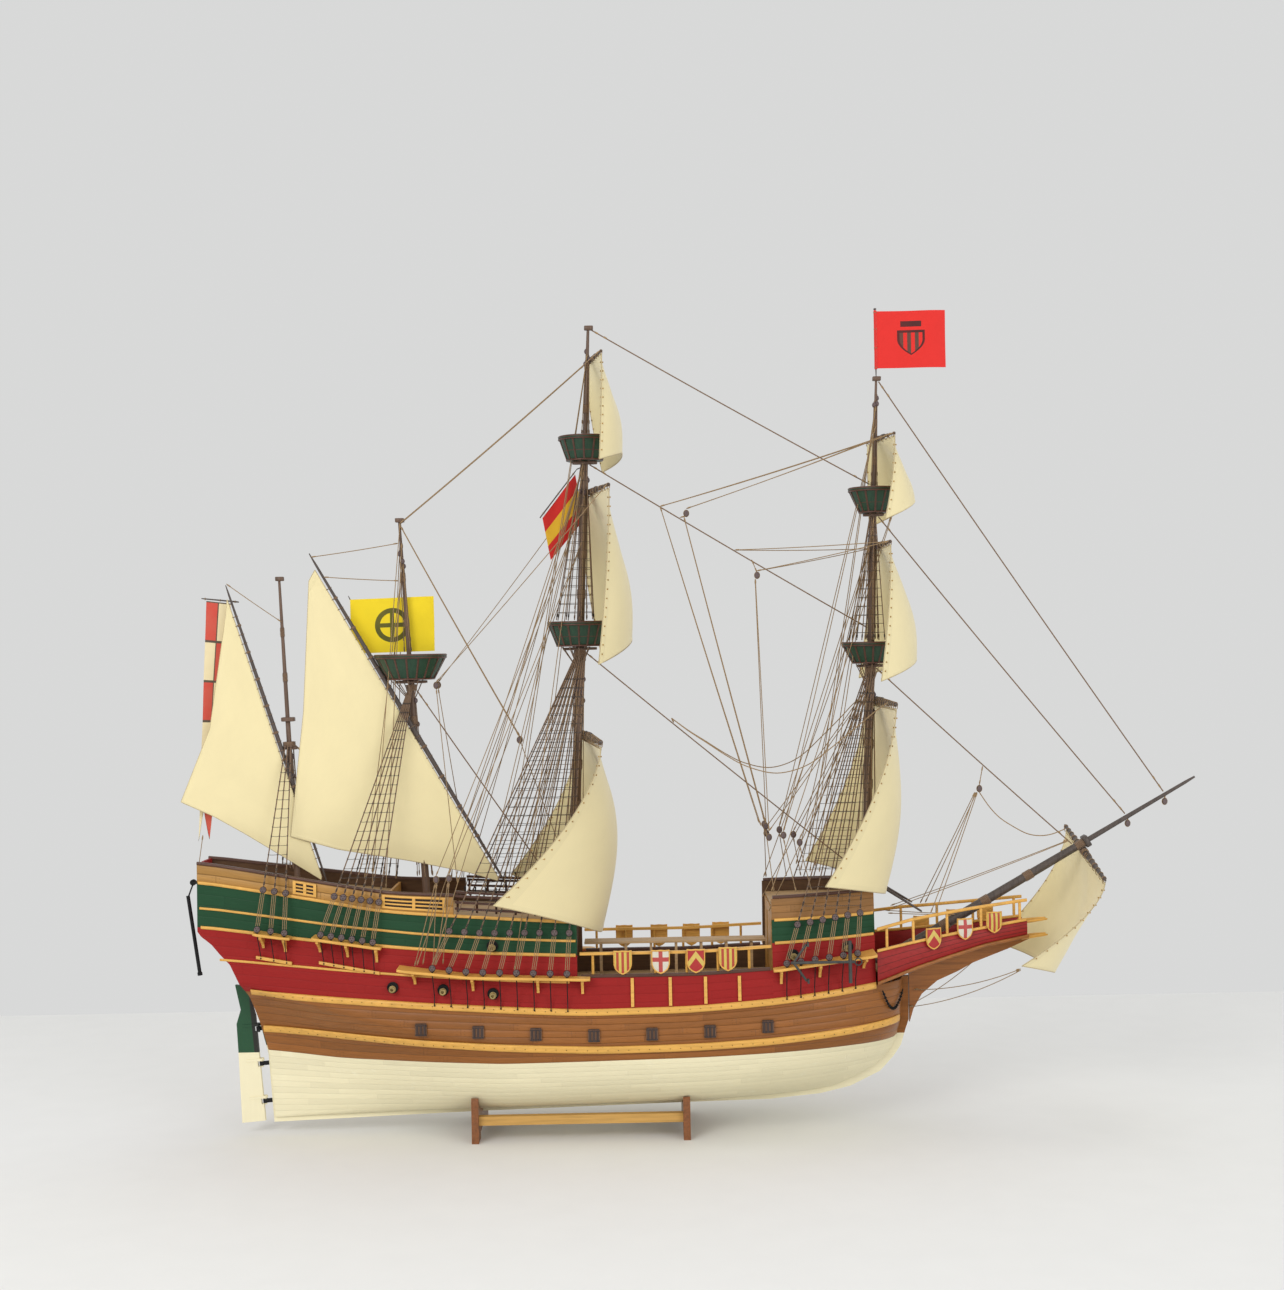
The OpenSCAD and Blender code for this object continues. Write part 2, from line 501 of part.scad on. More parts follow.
// The free edges as X and Z against the fraction from the peak round the clew to the tack.
mizzen_edge_x = [[0, -210], [0.25, -216], [0.5, -228], [0.63, -190], [0.8, -134], [0.92, -88], [1, -64]];
mizzen_edge_z = [[0, 441], [0.25, 337], [0.5, 238], [0.63, 227], [0.8, 217], [0.92, 207], [1, 199.5]];
bonaventure_edge_x = [[0, -277], [0.25, -291], [0.5, -315], [0.65, -289], [0.8, -265], [0.92, -230],
    [1, -205]];
bonaventure_edge_z = [[0, 415], [0.25, 325], [0.5, 267], [0.65, 255], [0.8, 241], [0.92, 219], [1, 203]];
module lateen_sail(y, edge_x, edge_z) {
    rows = 8;
    cols = 14;
    along = (y[1] - y[0]) / norm(y[1] - y[0]);
    below = [along[1], -along[0]] * (y[3] + 0.8);
    function side(back) = [for (i = [0:rows], j = [0:cols])
        let (u = j / cols, v = i / rows, a = yard_at(y, 0.045 + 0.93 * u) + below,
            b = [lookup(u, edge_x), lookup(u, edge_z)], p = a + (b - a) * v)
        [p[0], y[2] - 4 * sin(180 * u) * sin(150 * v) - back, p[1]]];
    color("wheat") sheet_solid(side(cloth), side(0), rows, cols);
}
module mizzen_sail() { lateen_sail(mizzen_yard, mizzen_edge_x, mizzen_edge_z); }
module bonaventure_sail() { lateen_sail(bonaventure_yard, bonaventure_edge_x, bonaventure_edge_z); }

// ---- standing rigging: mast, feet along X, half distance between feet, channel line, hounds
// height and radius, aft turn ----
main_channel = [[-137, 140], [-81, 133.5], [10, 130.3]];
fore_channel = [[150, 134], [229, 144]];
mizzen_channel = [[-204, 163], [-151, 154.4]];
bonaventure_channel = [[-251.5, 165.7], [-223, 161.5]];
rigs = [[main, [for (i = [0:8]) -109.9 + 12.8 * i], 73, main_channel, 376, 4.4, 200],
    [fore, [for (i = [0:5]) 160 + 10.8 * i], 71.5, fore_channel, 359, 4, 210],
    [mizzen, [for (i = [0:5]) -197 + 8 * i], 58, mizzen_channel, 354, 3.8, 240],
    [bonaventure, [for (i = [0:2]) -248 + 10.5 * i], 47, bonaventure_channel, 311, 4.6, 240]];
deadeye_r = 2.5;
deadeye_gap = 31;
function foot_point(r, i) = [r[1][i], -r[2], lookup(r[1][i], r[3]) + 2.6 + deadeye_r];
function head_point(r, i) =
    let (n = len(r[1]), turn = r[6] + (540 - 2 * r[6]) * i / (n - 1), z = r[4] + 0.9 * i,
        x = mast_x(r[0], z))
    [x + r[5] * cos(turn), r[5] * sin(turn), z];
function along_line(a, b, far) = a + (b - a) * far / norm(b - a);
module deadeye(p, toward) {
    v = toward - p;
    translate(p) rotate([90 - atan2(v[1], v[2]), 0, 0])
        cylinder(h = 2.2, r = deadeye_r, center = true, $fn = 24);
}
module deadeyes() {
    color("dimgray") both_sides() for (r = rigs, i = [0:len(r[1]) - 1]) {
        foot = foot_point(r, i);
        head = head_point(r, i);
        deadeye(foot, head);
        deadeye(along_line(foot, head, deadeye_gap), head);
    }
}
module lanyards() {
    color("tan") both_sides() for (r = rigs, i = [0:len(r[1]) - 1]) {
        foot = foot_point(r, i);
        head = head_point(r, i);
        for (side = [-1.4, 0, 1.4]) rod(along_line(foot, head, deadeye_r + 0.3) + [side, 0, 0],
            along_line(foot, head, deadeye_gap - deadeye_r - 0.3) + [side, 0, 0], line_d, 4);
    }
}
// Topmast shrouds: mast, height and radius at the top's rim, hounds height
top_rigs = [[main, 406, 23, 530, 3.4], [fore, 385.5, 20, 484, 3.2]];
function rim_point(t, i) = let (turn = 215 + 27 * i) [mast_x(t[0], t[1]) + t[2] * cos(turn),
    t[2] * sin(turn), t[1]];
function peak_point(t, i) = let (turn = 215 + 27 * i) [mast_x(t[0], t[3]) + t[4] * cos(turn),
    t[4] * sin(turn), t[3]];
module shrouds() {
    color("saddlebrown") both_sides() {
        for (r = rigs, i = [0:len(r[1]) - 1]) {
            foot = foot_point(r, i);
            head = head_point(r, i);
            rod(along_line(foot, head, deadeye_gap + deadeye_r + gap), head, shroud_d, 8);
        }
        for (t = top_rigs, i = [0:3]) rod(rim_point(t, i), peak_point(t, i), shroud_d * 0.8, 8);
        for (t = [top_list[0], top_list[2], top_list[4]], i = [0:3]) let (turn = 215 + 27 * i)
            rod([mast_x(t[0], t[1] - 14) + 5.4 * cos(turn), 5.4 * sin(turn), t[1] - 14],
                [mast_x(t[0], t[1]) + (t[2] - 1) * cos(turn), (t[2] - 1) * sin(turn), t[1] - 0.6], 0.8, 8);
    }
}
// A ratline crosses all the shrouds of one side just outboard of them.
function at_height(a, b, z) = a + (b - a) * (z - a[2]) / (b[2] - a[2]);
ratline_d = 0.45;
module ratlines() {
    out = [0, -(shroud_d + ratline_d) / 2 - 0.3, 0];
    color("dimgray") both_sides() {
        for (r = rigs) {
            last = len(r[1]) - 1;
            low = foot_point(r, 0)[2] + deadeye_gap + 11;
            for (z = [low:ratline_step:r[4] - 12])
                let (bulge = [0, -r[5] * (1 + sin(r[6])) * (z - low + 40) / (r[4] - low), 0])
                    rod(at_height(foot_point(r, 0), head_point(r, 0), z) + out + bulge,
                        at_height(foot_point(r, last), head_point(r, last), z) + out + bulge, ratline_d, 4);
        }
        for (t = top_rigs, z = [t[1] + 6:ratline_step:t[3] - 5], i = [0:2])
            let (a = at_height(rim_point(t, i), peak_point(t, i), z) + out,
                b = at_height(rim_point(t, i + 1), peak_point(t, i + 1), z) + out)
                rod(a + (b - a) * 0.05, b - (b - a) * 0.05, ratline_d, 4);
    }
}
stay_list = [
    [[mast_x(main, 380) + 4.6, 0, 380], [mast_x(fore, 200) - 5, 0, 200]],
    [[mast_x(main, 530) + 4, 0, 530], [mast_x(fore, 396) - 4, 0, 396]],
    [[mast_x(main, 638) + 2, 0, 638], [mast_x(fore, 508) - 3.4, 0, 510]],
    [[mast_x(fore, 363) + 4.6, 0, 363], [395, 0, sprit_z(395) + 4.4]],
    [[mast_x(fore, 484) + 4, 0, 484], [438, 0, sprit_z(438) + 3.4]],
    [[mast_x(fore, 592) + 2, 0, 592], [469, 0, sprit_z(469) + 3]],
    [[mast_x(mizzen, 352) + 4.2, 0, 352], [-20, 0, 196]],
    [[mast_x(bonaventure, 311) + 4, 0, 311], [mast_x(mizzen, 216) - 5, 0, 216]]];
module stays() { color("saddlebrown") for (s = stay_list) rod(s[0], s[1], stay_d, 8); }

// ---- channels with their knees and chains ----
module channel(line, wide, knees) {
    aft = line[0][0];
    fore = line[len(line) - 1][0];
    bar([for (x = stops(aft, fore)) let (z = lookup(x, line), y = half(x, z) + 1.9)
        [[x, -wide - 3.4, z], [x, -wide - 3.4, z + 2], [x, -y, z + 2], [x, -y, z]]]);
    for (x = knees) let (z = lookup(x, line) - eps, y = half(x, z - 11) + 2.2) translate([x - 1, 0, 0])
        rotate([90, 0, 90]) linear_extrude(2) polygon([[-y, z], [-wide, z], [-wide, z - 2], [-y, z - 11]]);
}
module channels() {
    color("goldenrod") both_sides() {
        channel(main_channel, 73, [-125, -80, -30, 4]);
        channel(fore_channel, 71.5, [156, 186, 221]);
        channel(mizzen_channel, 58, [-200, -178, -155]);
        channel(bonaventure_channel, 47, [-246, -228]);
    }
    color("dimgray") both_sides() for (r = rigs, i = [0:len(r[1]) - 1])
        let (x = r[1][i], z = lookup(x, r[3]))
        rod([x, -r[2], z - 0.1], [x, -half(x, z - 18) - 2.8, z - 18], 0.8, 6);
}

// ---- guns in their ports, and the closed lower ports ----
gun_spots = [[-142.7, 124.8], [-103.3, 123.2], [-64.7, 120.2], [-65, 156], [166, 145], [208.6, 149.2]];
module guns() {
    color("dimgray") both_sides() for (p = gun_spots) translate([p[0], -half(p[0], p[1]) - 1.3, p[1]])
        rotate([90, 0, 0]) difference() {
            union() {
                cylinder(h = 1.4, r = 4.4, $fn = 32);
                cylinder(h = 5.5, r1 = 2.6, r2 = 2.2, $fn = 24);
            }
            translate([0, 0, 2]) cylinder(h = 6, r = 1.1, $fn = 24);
        }
}
lid_x = [for (i = [0:6]) -120.8 + 44.3 * i];
function lid_z(x) = (low_z(x) + high_z(x)) / 2 - 3.4;
module port_lids() {
    color("dimgray") both_sides() for (x = lid_x) let (z = lid_z(x), s = slope(x, z))
        translate([x, -half(x, z) - 0.9, z]) rotate([90 - atan(s), 0, 0]) {
            translate([-4.6, -4.6, 0]) cube([9.2, 9.2, 1.2]);
            for (k = [-2.4, 2.4]) translate([k - 0.6, -4, 1.2]) cube([1.2, 9.4, 0.7]);
        }
}

// ---- rudder, hung on pintles in three gudgeons ----
rudder_foot = [-252.2, 0, 11];
rudder_lean = -4.44;
hanger_z = [14, 44, 72];
pin_r = 0.9;
module rudder_frame() { translate(rudder_foot) rotate([0, rudder_lean, 0]) children(); }
module gudgeons() {
    color("dimgray") outligger_hook();
    color("dimgray") rudder_frame() for (z = hanger_z) difference() {
        union() {
            translate([0, 0, z]) cylinder(h = 3, r = 2.1, $fn = 32);
            translate([0, -1.2, z]) cube([gudgeon_reach(z + 1.5), 2.4, 3]);
        }
        translate([0, 0, z - 1]) cylinder(h = 5, r = pin_r + 0.06, $fn = 32);
    }
}
// Distance from the hinge axis forward to the sternpost, at a height along the axis.
function gudgeon_reach(z) = let (h = 11 + z * cos(rudder_lean), x = rudder_foot[0] + z * sin(rudder_lean))
    lookup(h, [[10, -246.3], [65, -250.1], [85, -255.2], [87, -255.9]]) - x - 0.5;
module rudder() {
    color("ivory") rudder_frame() {
        difference() {
            rotate([90, 0, 0]) translate([0, 0, -2]) linear_extrude(4)
                polygon([[-1.4, 0], [-20, 0], [-17.6, 58], [-17, 79], [-12.6, 90], [-15.2, 110],
                    [-6.3, 108], [-1.4, 84]]);
            for (z = hanger_z) translate([-3.2, -3, z - 0.6]) cube([4, 6, 4.2]);
        }
        for (z = hanger_z) {
            translate([-12, -2.6, z + 3.8]) cube([12.6, 5.2, 2]);
            translate([0, 0, z - 1.4]) cylinder(h = 7.2, r = pin_r, $fn = 32);
            translate([0, 0, z + 3.8]) cylinder(h = 2, r = 1.9, $fn = 32);
        }
    }
}

// ---- outligger: the spar that hangs from the stern ----
outligger_pin = [-306.2, -8, 203];
module outligger() {
    color("black") translate(outligger_pin) {
        rotate([90, 0, 0]) difference() {
            cylinder(h = 3, r = 2.4, center = true, $fn = 32);
            cylinder(h = 4, r = 0.86, center = true, $fn = 32);
        }
        rod([-0.5, 0, -2], [-4.3, 0, -12], 1.2, 8);
        rod([-4.4, 0, -10.6], [4, 0, -73], 3, 12);
        rod([3.8, 0, -71.6], [4.1, 0, -74], 4, 12);
    }
}
module outligger_hook() {
    translate(outligger_pin) {
        rotate([90, 0, 0]) cylinder(h = 8, r = 0.8, center = true, $fn = 32);
        for (y = [-4, 4]) rod([0, y, 0], [5.6, y, 0], 1.6, 12);
    }
}

// ---- anchors at the bows ----
module anchor() {
    rotate([0, 90, 0]) cylinder(h = 49, r = 1.1, $fn = 20);
    for (side = [-1, 1]) rod([2, 0, 0], [12, 0, 14 * side], 1.9, 8);
    for (side = [-1, 1]) translate([12.4, -2.4, 14 * side - 1.6]) cube([1.4, 4.8, 3.2]);
    rod([45, 0, -16], [45, 0, 16], 2.8, 12);
    translate([51.2, 0, 0]) rotate([90, 0, 0]) rotate_extrude($fn = 32) translate([2.6, 0])
        circle(r = 0.5, $fn = 16);
}
module anchors() {
    color("dimgray") both_sides() translate([162.5, -78.5, 142]) anchor();
}

// ---- flags ----
module banner(corners, wave, rows, cols) {
    function at(u, v) = (corners[0] * (1 - u) + corners[1] * u) * (1 - v)
        + (corners[3] * (1 - u) + corners[2] * u) * v;
    function side(back) = [for (i = [0:rows], j = [0:cols]) let (u = j / cols, v = i / rows)
        at(u, v) + [0, back + wave * sin(360 * u) * u, 0]];
    sheet_solid(side(0), side(cloth), rows, cols);
}
module flags() {
    color("gold")
        banner([[-179.6, 8, 426], [-112.4, 8, 427.5], [-112.5, 8, 383.5], [-179.6, 8, 382.5]], 3, 2, 10);
    color("red") banner([[-24, 14, 489], [3, 17.5, 524], [9, 19, 487], [-18, 15, 455]], 2, 3, 8);
    color("ivory") banner([[-294, 3, 427], [-274.5, 3, 424.5], [-295, 3, 236], [-304, 3, 234.5]], 1, 8, 4);
}
module flag_staffs() {
    color("dimgray") {
        rod([-158, 13, 383], [-181.4, 10.2, 429], 1.2, 12);
        rod([-26, 12.2, 489], [4.4, 16, 528], 1.2, 12);
        rod([4.4, 15.2, 528], [9.4, 6.2, 529], 1, 12);
        rod([-298, 3, 429], [-268, 3, 425.6], 1.4, 12);
        translate([mast_x(fore, 596), 0, 596.2]) cylinder(h = 54.4, r = 0.55, $fn = 32);
    }
}
flag_x = mast_x(fore, 596);
module fore_flag() {
    color("crimson") {
        translate([flag_x, 0, 602]) difference() {
            cylinder(h = 47, r = 1.2, $fn = 32);
            translate([0, 0, -1]) cylinder(h = 49, r = 0.61, $fn = 32);
        }
        translate([flag_x + 0.9, -cloth / 2, 602.6]) cube([55, cloth, 45.6]);
    }
}

// ---- running rigging ----
block_spots = [[-110, -7, 356], [-110, 7, 356], [91.8, 0, 489.6], [147.5, 0, 439], [322, 0, 265],
    [150, -9, 239],
    [152, -16, 231], [163, -22, 233], [175, -30, 228], [150, 9, 239], [152, 16, 231], [163, 22, 233],
    [175, 30, 228],
    [-107, -60, 208], [-97, -62, 209], [-107, 60, 208], [-97, 62, 209], [440, 0, 235], [470, 0, 252],
    [-45, 0, 311], [-45, 5, 311]];
module blocks() {
    color("dimgray") for (p = block_spots) translate(p) rotate([90, 0, 0]) {
        cylinder(h = 2.6, r = 2.2, center = true, $fn = 24);
    }
}
function both_ends(y, to) = [for (side = [-1, 1])
    [yard_end(y, side * 0.97) - [y[3] * 0.45 + 0.7, 0, 0], [to[0], side * to[1], to[2]]]];
brace_list = concat(
    both_ends(main_gallant_yard, [-137, 2.4, 486]), both_ends(main_top_yard, [-110, 8.9, 358.4]),
    both_ends(fore_gallant_yard, [92, 1, 493.4]), both_ends(fore_top_yard, [147.5, 1, 442.6]),
    [for (side = [-1, 1]) each [
        [[90, side * 2, 486.4], [150, side * 9, 242]], [[146, side * 2, 436], [152, side * 16.6, 236]],
        [[150, side * 9, 236], [153, side * 46, 192]], [[163, side * 22, 230], [170, side * 48, 192]],
        [[175, side * 30, 225], [182, side * 50, 192]],
        [[163, side * 22, 236], [mast_x(fore, 470), side * 3, 470]],
        [[175, side * 30, 231], [mast_x(fore, 352), side * 5.4, 352]],
        [[320, side * 1.4, 262], [281, side * 26.6, 171]],
        [[318.6, side * 1.4, 262], [277, side * 27.6, 170.4]],
        [[-107, side * 60, 211], [-7, side * 5, 500]], [[-97, side * 62, 212], [-6, side * 6, 470]],
        [[-107, side * 60, 205], [-110, side * 63, 145]], [[-97, side * 62, 206], [-102.5, side * 65, 144]],
        [[-110, side * 7, 353], [-92, side * 48, 204]], [[-137, side * 2, 484], [-45, side * 4, 314]]]],
    [[[-276, -5, 440], [-238, -1.6, 410]], [[-208, -6.6, 460], [-139, -1.6, 470]],
    [[-198, -6, 444], [-139, -1.6, 440]],
        [[322, 0, 268], [325, 0, 283]], [[-299, -3, 240], [-303, -6, 210]]]);
module braces() { color("tan") for (b = brace_list) rod(b[0], b[1], line_d, 6); }

// ---- slack lines: round tubes along points chosen by hand ----
brace_route = [[77, 1.2, 326], [90, 6, 316], [105, 12, 306], [120, 18, 296], [135, 24, 288],
    [154, 32, 283], [170, 39, 285],
    [185, 47, 292], [202, 57, 306], [218, 67, 320], [230, 77, 331], [239, 85, 338]];
sprit_route = [[322, 0, 262], [329, -2, 251], [337, -3, 242], [347, -4, 235], [358, -5, 229],
    [368, -5, 227],
    [378, -5, 228], [389, -5, 232]];
function curve_at(pts, t) = let (n = len(pts) - 1, i = min(n - 1, floor(t * n)), f = t * n - i,
    a = pts[max(0, i - 1)], b = pts[i], c = pts[i + 1], d = pts[min(n, i + 2)])
    0.5 * (2 * b + (c - a) * f + (2 * a - 5 * b + 4 * c - d) * f * f + (3 * b - a - 3 * c + d) * f * f * f);
module tube(pts, d, rings) {
    spots = [for (i = [0:rings]) curve_at(pts, i / rings)];
    bar([for (i = [0:rings]) let (v = spots[min(rings, i + 1)] - spots[max(0, i - 1)], w = v / norm(v),
        s = cross(w, [0, 0, 1]), side = s / norm(s), up = cross(side, w))
        [for (k = [0:7]) spots[i] + d / 2 * (cos(45 * k) * side + sin(45 * k) * up)]]);
}
function mirrored(pts) = [for (p = pts) [p[0], -p[1], p[2]]];
module fore_brace_port() { color("tan") tube(brace_route, 0.8, 44); }
module fore_brace_starboard() { color("tan") tube(mirrored(brace_route), 0.8, 44); }
module spritsail_line() { color("tan") tube(sprit_route, 0.8, 32); }

placed() cradle_post_aft();
placed() cradle_post_fore();
placed() cradle_rails();
placed() keel_spine();
placed() half_frames();
placed() hull_bottom();
placed() wale_planking();
placed() red_planking();
placed() green_planking();
placed() top_planking();
placed() forecastle_planking();
placed() transom();
placed() wales();
placed() mouldings();
placed() decks();
placed() cabin_bulkheads();
placed() waist_rails();
placed() quarter_rails();
placed() gangway();
placed() shields();
placed() head_knee();
placed() head_sides();
placed() head_grating();
placed() channels();
placed() deadeyes();
placed() lanyards();
placed() guns();
placed() port_lids();
placed() gudgeons();
placed() main_mast();
placed() fore_mast();
placed() mizzen_mast();
placed() bonaventure_mast();
placed() bowsprit();
placed() tops();
placed() square_yards();
placed() lateen_yards();
placed() main_course();
placed() main_topsail();
placed() main_topgallant();
placed() fore_course();
placed() fore_topsail();
placed() fore_topgallant();
placed() spritsail();
placed() mizzen_sail();
placed() bonaventure_sail();
placed() shrouds();
placed() ratlines();
placed() stays();
placed() braces();
placed() blocks();
placed() anchors();
placed() flags();
placed() flag_staffs();
placed() rudder();
placed() outligger();
placed() fore_flag();
placed() fore_brace_starboard();
placed() fore_brace_port();
placed() spritsail_line();
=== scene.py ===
import math
import random
import bpy
import numpy as np
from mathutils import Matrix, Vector


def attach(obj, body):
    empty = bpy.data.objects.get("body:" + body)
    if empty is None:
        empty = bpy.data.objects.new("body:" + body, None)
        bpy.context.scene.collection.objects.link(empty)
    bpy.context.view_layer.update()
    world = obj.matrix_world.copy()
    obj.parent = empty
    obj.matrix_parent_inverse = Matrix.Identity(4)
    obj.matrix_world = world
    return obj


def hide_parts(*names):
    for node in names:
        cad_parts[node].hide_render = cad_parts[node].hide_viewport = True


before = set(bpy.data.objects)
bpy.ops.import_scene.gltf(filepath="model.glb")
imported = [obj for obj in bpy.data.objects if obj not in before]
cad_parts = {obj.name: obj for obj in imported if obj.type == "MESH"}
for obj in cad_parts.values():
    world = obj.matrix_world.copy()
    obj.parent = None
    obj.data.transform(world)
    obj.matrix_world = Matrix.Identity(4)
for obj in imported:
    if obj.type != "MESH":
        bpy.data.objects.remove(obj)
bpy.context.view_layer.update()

rng = random.Random(7)
SHIP_X = -89.5


def at(x, y, z):
    return Vector(((x + SHIP_X) * 0.001, y * 0.001, z * 0.001))


# ---- camera, at the photograph's place ----
camera_data = bpy.data.cameras.new("camera")
camera_data.lens = 51.63
camera_data.sensor_width = 36
camera_data.clip_start = 0.05
camera_data.clip_end = 20
camera = bpy.data.objects.new("camera", camera_data)
camera.location = (0.0544 + SHIP_X * 0.001, -1.480, 0.385)
camera.rotation_euler = (math.radians(90), math.radians(1.1), 0)
bpy.context.scene.collection.objects.link(camera)
bpy.context.scene.camera = camera


# ---- mesh building ----
def square_to(t):
    """Two unit vectors square to t and to each other."""
    up = t.orthogonal().normalized()
    return up, t.cross(up)


def circle(centre, up, side, radius, n):
    """n points round a centre; up and side are the circle's two unit vectors."""
    angles = [2 * math.pi * k / n for k in range(n)]
    return [centre + (up * math.cos(a) + side * math.sin(a)) * radius for a in angles]


def girth(n, v):
    """UVs round a ring of n points, all at one V."""
    return [(k / n, v) for k in range(n + 1)]


class Build:
    """Collects vertices, faces, UVs and material numbers for one piece."""

    def __init__(self):
        self.v, self.f, self.uv, self.m = [], [], [], []

    def grid(self, rows, uvs=None, m=0, flip=False, wrap=False):
        """rows is a list of equally long lists of points; wrap joins each row's end to its start."""
        first, n = len(self.v), len(rows[0])
        for row in rows:
            self.v.extend(tuple(p) for p in row)
        cols = n if wrap else n - 1
        for i in range(len(rows) - 1):
            for j in range(cols):
                k = (j + 1) % n
                face = [first + i * n + j, first + i * n + k,
                        first + (i + 1) * n + k, first + (i + 1) * n + j]
                if uvs:
                    corner = [uvs[i][j], uvs[i][j + 1], uvs[i + 1][j + 1], uvs[i + 1][j]]
                else:
                    corner = [(j / n, i / len(rows))] * 4
                if flip:
                    face.reverse()
                    corner = corner[::-1]
                self.f.append(face)
                self.uv.extend(corner)
                self.m.append(m)
        return first

    def fan(self, ring, m=0, flip=False):
        """A flat cap over a ring of vertex numbers."""
        face = list(ring)[::-1] if flip else list(ring)
        self.f.append(face)
        self.uv.extend([(0.0, 0.0)] * len(face))
        self.m.append(m)

    def prism(self, rings, uvs=None, m=0, flip=False):
        """A closed solid along equally long rings of points, with a flat cap at each end."""
        first, n = self.grid(rings, uvs, m, flip, wrap=True), len(rings[0])
        last = first + (len(rings) - 1) * n
        self.fan(range(first, first + n), m, flip=not flip)
        self.fan(range(last, last + n), m, flip=flip)

    def tube(self, points, radius, sides=8, m=0, close=False):
        """A round tube along points; radius is one number or one for each point. V runs in metres."""
        pts = [Vector(p) for p in points]
        n = len(pts)
        radii = radius if hasattr(radius, "__len__") else [radius] * n
        rows, uvs, far = [], [], 0.0
        up = None
        for i, p in enumerate(pts):
            if close:
                t = pts[(i + 1) % n] - pts[i - 1]
            else:
                t = pts[min(n - 1, i + 1)] - pts[max(0, i - 1)]
            t.normalize()
            if up is None:
                up = t.orthogonal().normalized()
            up = (up - t * up.dot(t)).normalized()
            rows.append(circle(p, up, t.cross(up), radii[i], sides))
            if i:
                far += (p - pts[i - 1]).length
            uvs.append(girth(sides, far))
        if close:
            self.grid(rows + rows[:1], uvs + [girth(sides, far + 0.001)], m, wrap=True)
        else:
            self.prism(rows, uvs, m)

    def lathe(self, a, b, profile, sides=24, m=0):
        """Turns a profile of (distance from a along a-b, radius) pairs round the line a-b."""
        a, b = Vector(a), Vector(b)
        t = (b - a).normalized()
        up, side = square_to(t)
        rows = [circle(a + t * d, up, side, r, sides) for d, r in profile]
        self.prism(rows, [girth(sides, d) for d, r in profile], m)

    def ring(self, centre, axis, radius, thick, m=0, sides=24, tube_sides=8):
        """A torus round an axis."""
        centre, t = Vector(centre), Vector(axis).normalized()
        self.tube(circle(centre, *square_to(t), radius, sides), thick, tube_sides, m, close=True)

    def block(self, centre, x, y, z, m=0, chamfer=0.15):
        """A chamfered box with half-extent vectors x, y, z."""
        c, x, y, z = Vector(centre), Vector(x), Vector(y), Vector(z)
        k = 1 - chamfer
        ring = [(1, k), (k, 1), (-k, 1), (-1, k), (-1, -k), (-k, -1), (k, -1), (1, -k)]
        rows = [[c + x * (u * s) + y * (v * s) + z * w for u, v in ring]
                for w, s in ((-1, k), (-k, 1), (k, 1), (1, k))]
        self.prism(rows, [girth(8, i / 4) for i in range(4)], m, flip=x.cross(y).dot(z) < 0)

    def shell(self, front, back, uvs, m=0, inner=None):
        """A closed solid between two grids of points, the front one facing outwards."""
        rows, cols = len(front), len(front[0])
        a = self.grid(front, uvs, m)
        b = self.grid(back, uvs, m if inner is None else inner, flip=True)
        rim = ([j for j in range(cols)] + [i * cols + cols - 1 for i in range(1, rows)]
               + [(rows - 1) * cols + j for j in range(cols - 2, -1, -1)]
               + [i * cols for i in range(rows - 2, 0, -1)])
        flat = [uv for row in uvs for uv in row]
        for i, p in enumerate(rim):
            q = rim[(i + 1) % len(rim)]
            self.f.append([a + q, a + p, b + p, b + q])
            self.uv.extend([flat[q], flat[p], flat[p], flat[q]])
            self.m.append(m)

    def make(self, name, mats, body="ship", nodes=(), slot=None, smooth=60):
        """Turns what was collected into one piece; edges sharper than smooth degrees stay sharp."""
        mesh = bpy.data.meshes.new(name)
        mesh.from_pydata(self.v, [], self.f)
        layer = mesh.uv_layers.new(name="UVMap")
        layer.data.foreach_set("uv", np.array(self.uv, dtype=np.float32).ravel())
        for mat in mats:
            mesh.materials.append(mat)
        mesh.polygons.foreach_set("material_index", self.m)
        mesh.polygons.foreach_set("use_smooth", [True] * len(self.f))
        mesh.update()
        obj = bpy.data.objects.new(name, mesh)
        bpy.context.scene.collection.objects.link(obj)
        mesh.set_sharp_from_angle(angle=math.radians(smooth))
        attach(obj, body)
        if nodes:
            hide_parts(*nodes)
        return obj


